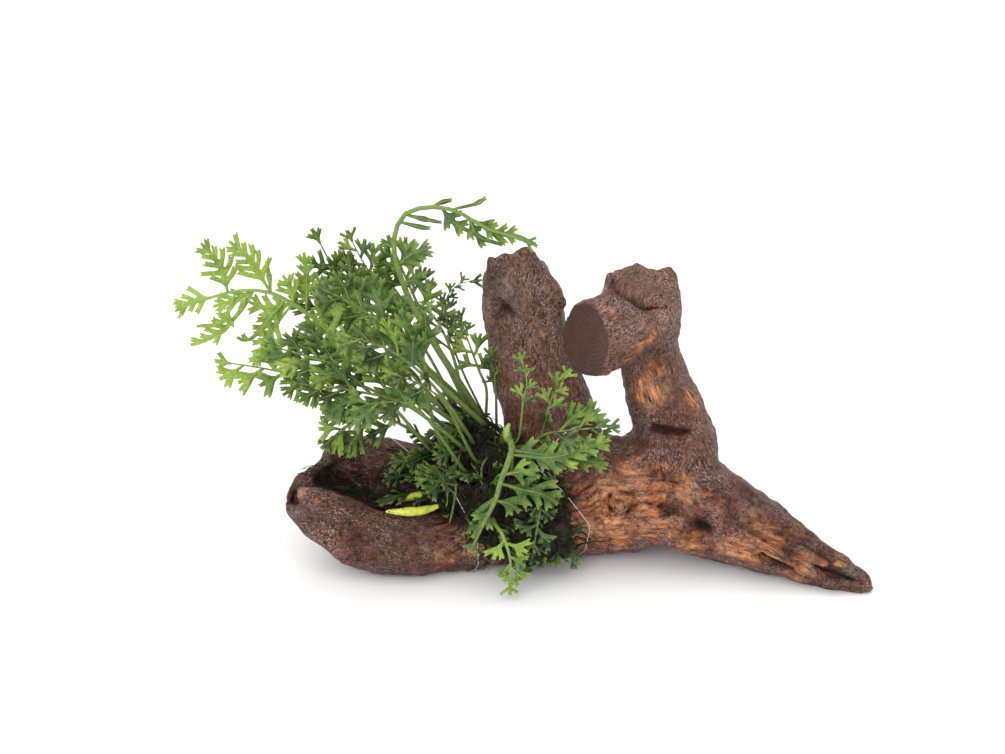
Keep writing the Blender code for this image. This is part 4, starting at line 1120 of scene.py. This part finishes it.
# %% List the fronds
# A route runs from the foot on the crown to the tip, in millimetres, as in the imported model. Stem is
# the diameter at the foot. Facing is where the upper side looks. First is the share of the route where
# the leaflets begin, reach is the length of the longest, and tone goes from 0, dark, to 1, pale.
Frond = namedtuple("Frond", "name route stem facing first pairs reach tone")
TO_CAMERA = (0.05, -0.8, 0.6)
UP_FRONT = (0.1, -0.6, 0.8)
UP_LEFT = (-0.35, -0.5, 0.8)
UP_BACK = (0, 0.45, 0.9)
FRONDS = [
    Frond("frond_far_left",
          [(-15, 9, 37.5), (-33, 12, 47), (-48, 12, 59.5), (-59.5, 10, 71), (-68.5, 8, 78),
           (-77.5, 6, 79.5), (-87, 4, 77.5), (-93, 3, 75.5)], 1.9, TO_CAMERA, 0.35, 0, 0, 0.95),
    Frond("frond_arching",
          [(-10, 8, 39.5), (-16.5, 8, 47.5), (-24.5, 8, 62), (-31, 9, 75), (-34.5, 10, 86), (-35, 10, 93),
           (-32.5, 10, 100), (-26.5, 9, 103), (-18.5, 8, 102.5), (-11, 7, 98), (-5.5, 6, 96.5), (2.5, 5, 94)],
          2.2, TO_CAMERA, 0.9, 0, 0, 0.55),
    Frond("frond_front",
          [(-4.5, -3, 40), (-4.5, -8, 42), (-3.5, -11.5, 41.5), (-4.5, -16, 39.5), (-6.5, -19, 35.5),
           (-8, -21, 30.5), (-11, -22, 24), (-14, -23, 17)], 2.4, TO_CAMERA, 0.9, 0, 0, 0.42),
    Frond("frond_palmate",
          [(-23, -3, 38), (-26, -8, 54), (-26.5, -10, 65.5), (-29, -9, 74.5), (-32.5, -8, 82)],
          1.4, TO_CAMERA, 0.9, 0, 0, 0.42),
    Frond("frond_low_left",
          [(-26, 2, 32), (-39, -2, 52), (-51, -4, 57.5), (-63, -6, 61), (-72, -6, 63), (-80.5, -7, 65)],
          1.5, TO_CAMERA, 0.45, 6, 10, 0.7),
    Frond("frond_upper_left",
          [(-20.5, 12, 37.5), (-32, 19, 47.5), (-43, 24, 61), (-51, 27, 72), (-57, 29, 84)],
          1.7, UP_FRONT, 0.5, 5, 11, 0.7),
    Frond("frond_tall_stalk",
          [(-16.5, 14, 37), (-27.5, 21, 53), (-37.5, 25, 66.5), (-44.5, 27, 77.5), (-48, 28, 85)],
          1.4, TO_CAMERA, 0.7, 3, 7, 0.55),
    Frond("frond_upper_middle", [(-13, 12, 38.5), (-23.5, 16, 56), (-31, 18, 73.5), (-36, 19, 87)],
          1.8, UP_FRONT, 0.6, 4, 10, 0.55),
    Frond("frond_inner",
          [(-12, 2.5, 41), (-20, 1.5, 50), (-26.5, 0.5, 58), (-34.5, -0.5, 68.5), (-43.5, -1.5, 78),
           (-52.5, -2.5, 84)],
          2.2, UP_FRONT, 0.6, 5, 12, 0.45),
    Frond("frond_thin",
          [(-10, 13.5, 37), (-17, 15.5, 49), (-21, 15.5, 62.5), (-21.5, 15.5, 71.5), (-18, 15.5, 76.5),
           (-13.5, 15.5, 77.5)], 1.0, TO_CAMERA, 0.6, 4, 3, 0.2),
    Frond("frond_stump_side",
          [(-8.5, 11, 39), (-10.5, 12, 45.5), (-12.5, 12, 51.5), (-15.5, 12, 61), (-17.5, 12, 68)],
          1.3, TO_CAMERA, 0.45, 4, 5.5, 0.5),
    Frond("frond_stump_straight", [(-7, 11.5, 36.5), (-8, 11.5, 47.5), (-9, 11.5, 56.5)],
          1.2, TO_CAMERA, 0.55, 3, 3.5, 0.3),
    Frond("sprig_front", [(-1.5, -3, 40), (-0.5, -4, 51), (0.5, -5, 58), (-1, -5, 64.5)],
          1.0, TO_CAMERA, 0.55, 3, 3.5, 0.65),
    Frond("sprig_right", [(4, -5, 40), (7, -6, 53), (11, -7, 61)], 0.9, TO_CAMERA, 0.6, 2, 4.5, 0.55),
    Frond("frond_right_flat", [(1, -5, 38), (6, -9, 44), (14.5, -11, 46.5), (23, -12, 48)],
          1.3, UP_FRONT, 0.35, 4, 7.5, 0.35),
    Frond("frond_bottom", [(-8, -17, 20), (-6, -21, 19), (-4, -23.5, 13), (-4, -24.5, 5)],
          1.3, TO_CAMERA, 0.4, 4, 5.5, 0.8),
    Frond("frond_droop", [(2, -12, 30), (4, -18, 27), (3, -20, 19), (2, -20, 11.5)],
          1.2, TO_CAMERA, 0.4, 3, 4.5, 0.2),
    Frond("frond_over_ridge", [(-25, 5.5, 33), (-37.5, 4.5, 40.5), (-48, 2.5, 40), (-53.5, 0.5, 36)],
          1.3, UP_FRONT, 0.35, 6, 9.5, 0.4),
    Frond("sprig_on_mat", [(-19, -6, 26), (-23, -11, 30), (-27, -13, 32)],
          0.9, UP_FRONT, 0.35, 3, 7, 0.35),
    Frond("frond_left_1", [(-18, 2.5, 39.5), (-31.5, -3.5, 53.5), (-49.5, -7.5, 64), (-66.5, -7.5, 70)],
          1.7, UP_FRONT, 0.55, 5, 12, 0.55),
    Frond("frond_left_2", [(-17, -4.5, 37), (-31.5, -12.5, 55), (-44.5, -15.5, 61), (-58, -15.5, 63)],
          1.6, UP_LEFT, 0.5, 5, 11, 0.45),
    Frond("frond_left_3", [(-20.5, 16, 36), (-37.5, 19, 47), (-50.5, 19, 61.5), (-59.5, 18, 74.5)],
          1.8, UP_FRONT, 0.55, 5, 12, 0.6),
    Frond("frond_fore_1", [(-14.5, -1.5, 37.5), (-24.5, -11.5, 60.5), (-35.5, -16.5, 74), (-47.5, -16.5, 78.5)],
          1.6, UP_LEFT, 0.66, 4, 9, 0.45),
    Frond("frond_fore_2", [(-17.5, -6, 32), (-28, -17, 56), (-37, -21, 61), (-47.5, -21, 58)],
          1.4, UP_FRONT, 0.68, 3, 8, 0.4),
    Frond("frond_fore_3", [(-14, -5, 34), (-21, -16, 57), (-27, -22, 66.5), (-35, -23, 71)],
          1.4, UP_FRONT, 0.76, 3, 5, 0.35),
    Frond("frond_middle", [(-14.5, 17, 36), (-29.5, 23, 49), (-43, 23, 64.5), (-52, 22, 78.5)],
          1.6, UP_LEFT, 0.55, 5, 12, 0.6),
    Frond("frond_back_1", [(-17, 16.5, 33), (-27, 28.5, 43), (-39, 37.5, 54), (-51, 42.5, 57)],
          1.6, UP_BACK, 0.45, 5, 12, 0.5),
    Frond("frond_back_2", [(-16, 19.5, 31.5), (-20, 30.5, 45.5), (-26, 40.5, 53.5), (-34, 48.5, 54.5)],
          1.6, UP_BACK, 0.45, 5, 11, 0.5),
    Frond("frond_back_3", [(-21, 15.5, 31), (-37, 23.5, 41), (-55, 29.5, 49), (-71, 33.5, 49)],
          1.6, UP_BACK, 0.45, 5, 12, 0.55),
]
LEAF_SIZE = {"frond_palmate": 1.5, "frond_front": 1.35, "frond_arching": 1.0, "frond_thin": 0.55,
             "frond_stump_straight": 0.7, "frond_stump_side": 0.8, "sprig_front": 0.75, "frond_droop": 0.8,
             "frond_inner": 1.15, "frond_left_1": 1.15, "frond_fore_1": 1.1}
print(len(FRONDS), "fronds")

# %% [markdown]
# ### The flat leaflet
# The growth works like a chain of extrusions. extend pulls an edge to two new places, finger pulls a
# side edge out into a short lobe whose end splits into two teeth, and flat_leaflet pulls the web along
# the middle, where each step gives a lobe on both sides with a slit after it. Two numbers are kept at
# each point: tip grows towards the ends, and across is 1 on one edge and -1 on the other.

# %% Grow a leaflet by extrusion
STALK_WIDTH = 0.8
WEB_WIDTH = 1.75
FINGER_STEP = 2.9
SLIT_SHARE = 0.36
TOOTH_LENGTH = 0.95
LEAST_REACH = 1.15
KEPT_VALUES = ("tip", "across", "tone")
chance = random.Random(4)


def extend(bm, ends, places, tip):
    """Extrudes the edge between two points and moves the new edge to two places."""
    edge = bm.edges.get(ends)
    made = bmesh.ops.extrude_edge_only(bm, edges=[edge])["geom"]
    fresh = [item for item in made if isinstance(item, bmesh.types.BMVert)]
    new_ends = []
    for old, place, across in zip(ends, places, (1, -1)):
        new = next(vert for vert in fresh if bm.edges.get((old, vert)))
        new.co = (*place, 0)
        new[bm.verts.layers.float["tip"]] = tip
        new[bm.verts.layers.float["across"]] = across
        new_ends.append(new)
    return new_ends


def beside(centre, angle, width):
    """Two flat places, left and right of a centre, for a strip that runs at the angle."""
    side = np.array((-math.sin(angle), math.cos(angle))) * width / 2
    return [np.array(centre) + side, np.array(centre) - side]


def forked(bm, ends, centre, angle, width, tip):
    """Splits the edge in the middle and pulls each half out into a tooth."""
    _, middle = bmesh.utils.edge_split(bm.edges.get(ends), ends[0], 0.5)
    middle[bm.verts.layers.float["tip"]] = tip
    middle[bm.verts.layers.float["across"]] = 0
    for pair, turn in (((ends[0], middle), 0.5), ((middle, ends[1]), -0.5)):
        heading = angle + turn * chance.uniform(0.3, 0.8)
        reach = width * 0.6 * chance.uniform(0.6, 1.35)
        start = np.array(centre) + np.array((-math.sin(angle), math.cos(angle))) * width * turn / 2
        end = start + np.array((math.cos(heading), math.sin(heading))) * reach
        extend(bm, pair, beside(end, heading, width * 0.26), 1.0)


def finger(bm, ends, angle, length, width):
    """Pulls an edge out into one lobe."""
    base = (np.array(ends[0].co[:2]) + np.array(ends[1].co[:2])) / 2
    run = np.array((math.cos(angle), math.sin(angle)))
    middle = base + run * length * 0.55
    turned = angle * 0.85 + chance.uniform(-0.12, 0.12)
    end = middle + np.array((math.cos(turned), math.sin(turned))) * length * 0.45
    ends = extend(bm, ends, beside(middle, angle, width * 0.82), 0.5)
    ends = extend(bm, ends, beside(end, turned, width * 0.84), 0.85)
    forked(bm, ends, end, turned, width * 0.84, 0.85)


def flat_leaflet(length, reaches, first, size):
    """A leaflet cut flat. Reaches are the longest lobe on the left and on the right."""
    bm = bmesh.new()
    for name in KEPT_VALUES:
        bm.verts.layers.float.new(name)
    ends = [bm.verts.new((0, side * STALK_WIDTH / 2, 0)) for side in (1, -1)]
    for vert, across in zip(ends, (1, -1)):
        vert[bm.verts.layers.float["across"]] = across
    bm.edges.new(ends)
    last = max(length - TOOTH_LENGTH * size - 1.0, length * 0.6)
    place = max(length * first, 0.6)
    ends = extend(bm, ends, beside((place, 0), 0, STALK_WIDTH), 0)
    sprouts = max(1, round((last - place) / (FINGER_STEP * size)))
    step = max(last - place, 1.0) / sprouts
    for number in range(sprouts):
        share = (number + 0.5) / sprouts
        width = WEB_WIDTH * size * (0.65 + 0.35 * math.sin(math.pi * min(1, share + 0.3)))
        ends = extend(bm, ends, beside((place + step * SLIT_SHARE, 0), 0, width * 0.8), 0.3 * share)
        place += step
        new_ends = extend(bm, ends, beside((place, 0), 0, width), 0.3 * share)
        for side, pair in enumerate(((ends[0], new_ends[0]), (new_ends[1], ends[1]))):
            reach = reaches[side] * (0.55 + 0.45 * math.sin(math.pi * min(1, share + 0.25)))
            reach *= chance.uniform(0.75, 1.2)
            if reach > LEAST_REACH:
                angle = (0.95 - 0.35 * share + chance.uniform(-0.16, 0.16)) * (1, -1)[side]
                finger(bm, pair, angle, reach, step * (1 - SLIT_SHARE) * 0.98)
        ends = new_ends
    finger(bm, ends, chance.uniform(-0.1, 0.1), length - place - TOOTH_LENGTH * size * 0.5, width * 0.85)
    return bm


# %% [markdown]
# ### Laying a leaflet along its line
# A real leaflet isn't flat: it droops towards its tip, folds a little along its vein and ripples. Each
# point of the flat shape goes to its distance along the line and to the side of it, and is lifted by a
# fold and a smooth noise.

# %% Lay, thicken and join
RIPPLE = 0.55
LEAF_THICKNESS = 0.26


def lay(bm, line, fold, tone):
    """Bends the flat leaflet on to its line, in millimetres, and keeps its tone at each point."""
    for vert in bm.verts:
        place, _, side, upper = line.at(vert.co.x)
        spot = place + side * vert.co.y
        lift = fold * abs(vert.co.y) + RIPPLE * noise.noise(Vector(spot) / 3.5)
        vert.co = spot + upper * lift
        vert[bm.verts.layers.float["tone"]] = tone


def thickened(mesh, levels):
    """The leaf blades, rounded and given their thickness."""
    obj = add_object("blades", mesh)
    rounding = obj.modifiers.new("rounding", "SUBSURF")
    rounding.levels = levels
    rounding.render_levels = levels
    wall = obj.modifiers.new("wall", "SOLIDIFY")
    wall.thickness = LEAF_THICKNESS * MM
    wall.offset = 0
    return applied(obj)


# %% [markdown]
# ### Leaflets that the photograph shows one by one
# The far left frond, the arching frond, the front frond and the palmate leaf stand clear of the bush,
# so each of their leaflets is placed by its own pixels: its line from stem to tip, and how far its
# fingers reach on the left and on the right of it. The depth is that of the stem where it grows.

# %% Name the leaflets seen in the photograph
Leaflet = namedtuple("Leaflet", "pixels left right first lean")
LEAFLETS_SEEN = {
    "frond_far_left": [
        Leaflet([(231, 291), (223, 272), (213, 256), (200, 243)], 4.6, 3.4, 0.12, -2),
        Leaflet([(268, 289), (258, 272), (247, 256), (229, 241)], 4.6, 4.4, 0.22, -3),
        Leaflet([(268, 287), (269, 275), (266, 261)], 0, 0, 0.3, 1),
        Leaflet([(291, 302), (291, 290), (283, 275)], 3.2, 3.0, 0.2, -1),
        Leaflet([(306, 306), (307, 282), (304, 252)], 2.6, 2.4, 0.3, 2),
        Leaflet([(252, 295), (236, 300), (213, 307)], 2.6, 2.8, 0.15, -2),
        Leaflet([(252, 295), (243, 310), (226, 328), (206, 340), (190, 346)], 1.2, 2.8, 0.5, -3),
        Leaflet([(240, 313), (222, 322), (196, 326)], 1.4, 1.6, 0.35, -2),
        Leaflet([(290, 307), (268, 308), (248, 302)], 3.0, 3.2, 0.1, 2),
        Leaflet([(288, 310), (273, 328), (262, 348), (252, 368)], 3.0, 3.0, 0.3, -2),
        Leaflet([(268, 334), (252, 338), (236, 338)], 1.8, 2.0, 0.2, -1),
        Leaflet([(214, 297), (198, 300), (175, 308)], 2.8, 3.4, 0.08, -1),
    ],
    "frond_arching": [
        Leaflet([(441, 208), (449, 218), (462, 228), (480, 235)], 2.2, 1.5, 0.1, -1),
        Leaflet([(462, 228), (478, 236), (503, 245)], 1.5, 1.2, 0.1, -1),
        Leaflet([(478, 224), (498, 233), (518, 236), (538, 246)], 1.7, 1.7, 0.1, 0),
        Leaflet([(468, 214), (487, 228), (502, 243)], 1.1, 0, 0.2, 0),
        Leaflet([(432, 205), (442, 202), (452, 200)], 1.0, 0, 0.3, 1),
        Leaflet([(448, 206), (466, 207), (478, 203), (486, 198)], 0.8, 0.8, 0.6, 0),
        Leaflet([(408, 213), (424, 219), (442, 223)], 1.0, 1.0, 0.3, -1),
        Leaflet([(404, 220), (416, 226), (430, 229)], 0.8, 0.8, 0.3, -1),
        Leaflet([(396, 262), (412, 254), (432, 247)], 3.2, 3.2, 0.1, -3),
        Leaflet([(399, 268), (410, 262), (420, 266)], 2.4, 2.6, 0.1, 2),
        Leaflet([(402, 283), (416, 281), (428, 294)], 2.6, 2.0, 0.1, 0),
        Leaflet([(393, 247), (386, 244), (378, 247)], 1.6, 1.0, 0.2, 1),
    ],
    "frond_front": [
        Leaflet([(512, 456), (535, 458), (562, 456), (590, 446), (611, 440)], 3.0, 3.6, 0.28, -1),
        Leaflet([(560, 457), (582, 460), (609, 464)], 2.6, 3.0, 0.05, -1),
        Leaflet([(506, 484), (524, 490), (545, 495), (558, 505)], 4.4, 4.0, 0.2, -1),
        Leaflet([(508, 478), (524, 472), (540, 478)], 2.6, 2.6, 0.2, 1),
        Leaflet([(498, 502), (510, 504), (520, 512)], 2.4, 2.2, 0.15, 0),
        Leaflet([(494, 508), (484, 520), (472, 538)], 2.0, 2.0, 0.1, -1),
        Leaflet([(497, 497), (486, 506), (476, 514)], 1.4, 1.4, 0.2, 1),
    ],
    "frond_palmate": [
        Leaflet([(428, 374), (412, 356), (394, 342), (370, 335)], 3.2, 3.4, 0.18, -2),
        Leaflet([(427, 370), (418, 348), (408, 330), (400, 309)], 3.6, 3.0, 0.18, -1),
        Leaflet([(428, 376), (408, 388), (380, 403), (350, 418)], 3.0, 3.4, 0.2, -3),
        Leaflet([(428, 378), (420, 392), (409, 408)], 2.2, 2.4, 0.2, -2),
        Leaflet([(420, 366), (400, 364), (384, 358)], 2.6, 2.6, 0.2, 1),
        Leaflet([(420, 350), (426, 330), (424, 310)], 2.6, 2.6, 0.2, 1),
    ],
}


def seen_lines(frond, line):
    """The lines of a frond's seen leaflets, each starting on its stem."""
    for leaflet in LEAFLETS_SEEN.get(frond.name, []):
        distances = []
        for point in line.points:
            offset = point * MM - np.array(camera.location)
            ray = np.array(pixel_ray(leaflet.pixels[0]))
            distances.append(np.linalg.norm(offset - (offset @ ray) * ray))
        start = line.points[int(np.argmin(distances))]
        depths = start[1] + leaflet.lean * np.linspace(0, 1, len(leaflet.pixels))
        points = [np.array(at_depth(pixel, depth * MM)) / MM for pixel, depth in zip(leaflet.pixels, depths)]
        points[0] = start
        yield Line(points, frond.facing), (leaflet.left, leaflet.right), leaflet.first


# %% Place the other leaflets
SPREAD = 0.95
LEAFLET_CHANCE = 0.88


def grown_lines(frond, line):
    """The lines of leaflets that stand in pairs along the stem, shorter towards both ends."""
    for number in range(frond.pairs):
        rise = (number + 0.35) / max(frond.pairs, 1)
        share = frond.first + (0.95 - frond.first) * rise ** 0.85
        for side_sign in (1, -1):
            if chance.random() > LEAFLET_CHANCE:
                continue
            reach = frond.reach * math.sin(math.pi * (0.36 + 0.5 * rise)) * chance.uniform(0.75, 1.25)
            spot = min(0.98, share + side_sign * 0.02)
            place, heading, side, upper = line.at(line.length * spot)
            angle = SPREAD * chance.uniform(0.8, 1.1) * (1 - 0.25 * rise)
            run = heading * math.cos(angle) + side * side_sign * math.sin(angle)
            run = unit(run + upper * chance.uniform(-0.25, 0.3))
            droop = upper * chance.uniform(-0.22, 0.02) + heading * 0.12
            points = [place, place + run * reach * 0.5, place + (run + droop) * reach]
            tilt = unit(upper + 0.5 * np.array([chance.uniform(-1, 1) for _ in range(3)]))
            yield Line(points, tilt), (1.1 + reach * 0.27, 1.1 + reach * 0.27), 0.25
    place, heading, side, upper = line.at(line.length * 0.97)
    end = max(frond.reach * 0.45, 3.5)
    yield Line([place, place + heading * end * 0.5, place + heading * end], upper), (2.2, 2.2), 0.1


# %% [markdown]
# ### Leaf and stem finishes
# A fern leaf is thin enough for light to come through it, so the blade mixes a surface shader with a translucent
# one. Young tips are pale yellow-green, old leaves are deep green, the vein is lighter, and a soft gray-green,
# partly the leaf's own hue and partly a painted sheen, is mixed in by noise. The stem is olive with fine grooves
# along it, and darker towards its foot.

# %% Finish the leaf blades
LEAF_DEEP = (0.016, 0.050, 0.006)
LEAF_GREEN = (0.115, 0.225, 0.035)
LEAF_PALE = (0.44, 0.62, 0.105)
LEAF_TIP = (0.48, 0.60, 0.12)
# A gray-green that is partly the leaf's own hue and partly a painted sheen.
LEAF_GRAY_AND_SHEEN = (0.17, 0.27, 0.13)
LEAF_DEAD = (0.035, 0.018, 0.010)

leaf_finish, tree, shader = new_material("fern leaf")
place = object_place(tree)
tone = stored(tree, "tone")
tip = stored(tree, "tip")
shade = noise_node(tree, place, 0.22, 3, 0.6)
age = math_node(tree, "ADD", tone, math_node(tree, "MULTIPLY", math_node(tree, "SUBTRACT", shade, 0.5), 1.4))
colour = mixed(tree, stretched(tree, age, 0.0, 0.55), LEAF_DEEP, LEAF_GREEN)
colour = mixed(tree, stretched(tree, age, 0.5, 1.0), colour, LEAF_PALE)
# Painted sheen, partly also the leaf's own gray hue: gray-green mixed in where a broad noise is high.
gray_and_sheen_share = stretched(tree, noise_node(tree, place, 0.09, 3, 0.6), 0.48, 0.62)
young = stretched(tree, age, 0.85, 0.5)
colour = mixed(tree, math_node(tree, "MULTIPLY", math_node(tree, "MULTIPLY", gray_and_sheen_share, young), 0.5), colour, LEAF_GRAY_AND_SHEEN)
cells = use_group(tree, mottling, place, Scale=1.6, Low_colour=(0.5, 0.56, 0.46), High_colour=(1.25, 1.2, 1.1))
colour = mixed(tree, 0.7, colour, cells.outputs["Colour"], "MULTIPLY")
tip_share = math_node(tree, "MULTIPLY", stretched(tree, tip, 0.55, 1.15), 0.55)
colour = mixed(tree, tip_share, colour, LEAF_TIP)
vein = stretched(tree, math_node(tree, "ABSOLUTE", stored(tree, "across")), 0.22, 0.02)
colour = mixed(tree, math_node(tree, "MULTIPLY", vein, 0.28), colour, LEAF_PALE)
blotch = noise_node(tree, place, 0.55, 3, 0.7)
dead = math_node(tree, "MULTIPLY", stretched(tree, blotch, 0.66, 0.72), 0.7)
colour = mixed(tree, dead, colour, LEAF_DEAD)
tree.links.new(colour, shader.inputs["Base Color"])
leaf_height = math_node(tree, "ADD", math_node(tree, "MULTIPLY", vein, -0.6), cells.outputs["Height"])
bump(tree, shader, leaf_height, 0.5, 0.15 * MM)
shader.inputs["Roughness"].default_value = 0.42
shader.inputs["Specular IOR Level"].default_value = 0.35
through = tree.nodes.new("ShaderNodeBsdfTranslucent")
tree.links.new(colour, through.inputs["Color"])
blend = tree.nodes.new("ShaderNodeMixShader")
blend.inputs[0].default_value = 0.3
tree.links.new(shader.outputs[0], blend.inputs[1])
tree.links.new(through.outputs[0], blend.inputs[2])
tree.links.new(blend.outputs[0], tree.nodes["Material Output"].inputs["Surface"])

# %% Finish the stems
STEM_DARK = (0.035, 0.055, 0.012)
STEM_LIGHT = (0.17, 0.235, 0.055)
STEM_PALE = (0.28, 0.42, 0.08)

stem_finish, tree, shader = new_material("fern stem")
place = object_place(tree)
skin = use_group(tree, mottling, place, Scale=0.9, Low_colour=STEM_DARK, High_colour=STEM_LIGHT)
# The stem is darker towards its foot, over the lowest third.
darker_foot_share = stretched(tree, stored(tree, "tip"), 0.3, 0.0)
colour = mixed(tree, stretched(tree, stored(tree, "tone"), 0.2, 1.1), skin.outputs["Colour"], STEM_PALE)
colour = mixed(tree, math_node(tree, "MULTIPLY", darker_foot_share, 0.75), colour, STEM_DARK)
tree.links.new(colour, shader.inputs["Base Color"])
bump(tree, shader, skin.outputs["Height"], 0.4, 0.15 * MM)
shader.inputs["Roughness"].default_value = 0.38
shader.inputs["Specular IOR Level"].default_value = 0.4

# %% [markdown]
# ### Building the fronds
# One function makes a whole frond: it grows the stem, lays every leaflet, gives the blades their
# thickness and joins both in one mesh that stands for the solid of the same name.

# %% Build one frond
TAPER = 0.35
FOOT_DEPTH = 1.2
BUD = [(-4.6, -7.6, 41.2), (-5.0, -7.9, 43.4), (-4.7, -8.1, 45.4), (-4.2, -8.2, 46.6)]
LEAST_HEIGHT = 0.2 * MM
CLEAR_FRONDS = {"frond_far_left", "frond_arching", "frond_front", "frond_palmate", "frond_bottom"}


def add_to(bm, other):
    """Copies one bmesh into another and frees it."""
    passing = bpy.data.meshes.new("passing")
    other.to_mesh(passing)
    other.free()
    bm.from_mesh(passing)
    bpy.data.meshes.remove(passing)


def rooted(route):
    """The route with its foot moved down into the root mat."""
    foot, normal, _, _ = mat_tree.find_nearest(Vector(route[0]) * MM)
    ground_place = foot / MM - normal * FOOT_DEPTH
    return [tuple(ground_place), *route[0 if (ground_place - Vector(route[0])).length > 4 else 1:]]


def build_frond(frond):
    """A finished frond in place of its solid."""
    line = Line(rooted(frond.route), frond.facing)
    blades = bmesh.new()
    stems = bmesh.new()
    for name in KEPT_VALUES:
        blades.verts.layers.float.new(name)
        stems.verts.layers.float.new(name)
    radius = frond.stem * (0.44 if frond.name in CLEAR_FRONDS else 0.34)
    stem_marks = (("tone", frond.tone, frond.tone), ("tip", 0.0, 1.0))
    tube(stems, line, (radius * 1.1, radius, radius * 0.7, radius * TAPER), 12, 26, 0.0, 0.14, stem_marks)
    for leaf_line, reaches, first in [*seen_lines(frond, line), *grown_lines(frond, line)]:
        tone = frond.tone + chance.uniform(-1, 1) * (0.12 if frond.name in CLEAR_FRONDS else 0.34)
        leaflet = flat_leaflet(leaf_line.length, reaches, first, LEAF_SIZE.get(frond.name, 1.0))
        lay(leaflet, leaf_line, chance.uniform(-0.25, 0.1), tone)
        add_to(blades, leaflet)
        rib_marks = (("tone", tone, tone), ("tip", 1.0, 1.0))
        tube(stems, leaf_line, (min(0.4, frond.stem * 0.28), 0.2, 0.08), 6, 7, 0.0, 0.0, rib_marks)
    if frond.name == "frond_front":
        tube(stems, Line(BUD, frond.facing), (0.95, 1.05, 0.85, 0.4), 10, 9, 0.0, 0.0, (("tone", 1.2, 1.2), ("tip", 1, 1)))
    for face in blades.faces:
        face.smooth = True
    blade_mesh = thickened(mesh_from(blades, "blades"), 2 if frond.name in CLEAR_FRONDS else 1)
    whole = bmesh.new()
    whole.from_mesh(blade_mesh)
    first_stem = len(whole.faces)
    whole.from_mesh(mesh_from(stems, "stems"))
    whole.faces.ensure_lookup_table()
    for face in whole.faces[first_stem:]:
        face.material_index = 1
    for vert in whole.verts:
        vert.co.z = max(vert.co.z, LEAST_HEIGHT)
    mesh = bpy.data.meshes.new(frond.name)
    whole.to_mesh(mesh)
    whole.free()
    mesh.materials.append(leaf_finish)
    mesh.materials.append(stem_finish)
    piece = add_object("fern_" + frond.name, mesh)
    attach(piece, "root")
    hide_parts(frond.name)
    return sum(len(face.vertices) - 2 for face in mesh.polygons)


# %% Build all the fronds
frond_faces = {frond.name: build_frond(frond) for frond in FRONDS}
print("triangles of the fronds:", sum(frond_faces.values()))

# %% [markdown]
# ### Small leaves and young stems on the mat
# Between the fronds the mat carries dozens of small dark leaves on short stalks, and thin young stems
# that bow over its front. They are too many to be pieces of their own, so they belong to the mat. The
# same leaflet is grown smaller, each with its foot in the mat and its back to it.

# %% Grow the small leaves
SMALL_LEAF_COUNT = 130
small_leaves = bmesh.new()
small_stems = bmesh.new()
for name in KEPT_VALUES:
    small_leaves.verts.layers.float.new(name)
    small_stems.verts.layers.float.new(name)
for _ in range(SMALL_LEAF_COUNT):
    spot = mat_spots[chance.randrange(len(mat_spots))]
    foot, normal, _, _ = mat_tree.find_nearest(Vector(spot) * MM)
    foot = np.array(foot) / MM
    away = np.array([chance.uniform(-1, 1) for _ in range(3)])
    run = unit(np.array(normal) * 0.8 + away)
    crowned = foot[2] > 20 and foot[0] < -14
    reach = chance.uniform(7, 14) if crowned else chance.uniform(3, 6.5)
    run = unit(run + np.array((-1.0, -0.1, 0.1))) if crowned else run
    tone = chance.uniform(-0.15, 0.4)
    line = Line([foot - run * 0.5, foot + run * reach * 0.6, foot + run * reach - np.array((0, 0, 0.8))],
                unit(np.array(normal) + (0, -0.6, 0.5)))
    leaf = flat_leaflet(line.length, (0.9 + reach * 0.2, 0.9 + reach * 0.2), 0.35, 0.75)
    lay(leaf, line, chance.uniform(-0.2, 0.1), tone)
    add_to(small_leaves, leaf)
for face in small_leaves.faces:
    face.smooth = True

# %% Bow the young stems over the mat
YOUNG_STEM_COUNT = 16
for _ in range(YOUNG_STEM_COUNT):
    foot = CROWN + np.array((chance.uniform(-9, 11), chance.uniform(-12, -4), chance.uniform(-2, 5)))
    foot = np.array(mat_tree.find_nearest(Vector(foot) * MM)[0]) / MM
    out = np.array((chance.uniform(-3, 3), chance.uniform(-6, -3), chance.uniform(-3, 0)))
    down = np.array((chance.uniform(-4, 4), chance.uniform(-3, 1), chance.uniform(-14, -6)))
    line = Line([foot - out * 0.2, foot + out * 0.6, foot + out + down * 0.4, foot + out + down], (0, -1, 0.2))
    width = chance.uniform(0.22, 0.42)
    tone = chance.uniform(-0.2, 0.4)
    tube(small_stems, line, (width, width, width * 0.6), 7, 14, 0.0, 0.1, (("tone", tone, tone), ("tip", 0.1, 1.0)))

# %% Join the mat
small_leaf_mesh = thickened(mesh_from(small_leaves, "small leaves"), 1)
mat = bmesh.new()
small_stem_mesh = mesh_from(small_stems, "small stems")
for number, mesh in enumerate((small_leaf_mesh, small_stem_mesh, mat_mesh, roots_mesh, stalks_mesh)):
    first_face = len(mat.faces)
    mat.from_mesh(mesh)
    mat.faces.ensure_lookup_table()
    for face in mat.faces[first_face:]:
        face.smooth = True
        face.material_index = (1, 2, 0, 0, 0)[number]
for vert in mat.verts:
    vert.co.z = max(vert.co.z, LEAST_HEIGHT)
whole_mat_mesh = bpy.data.meshes.new("root_mat")
mat.to_mesh(whole_mat_mesh)
mat.free()
for finish in (root_finish, leaf_finish, stem_finish):
    whole_mat_mesh.materials.append(finish)
root_mat = add_object("fern_root_mat", whole_mat_mesh)
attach(root_mat, "root")
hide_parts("root_mat")
print("root mat triangles", sum(len(face.vertices) - 2 for face in whole_mat_mesh.polygons))
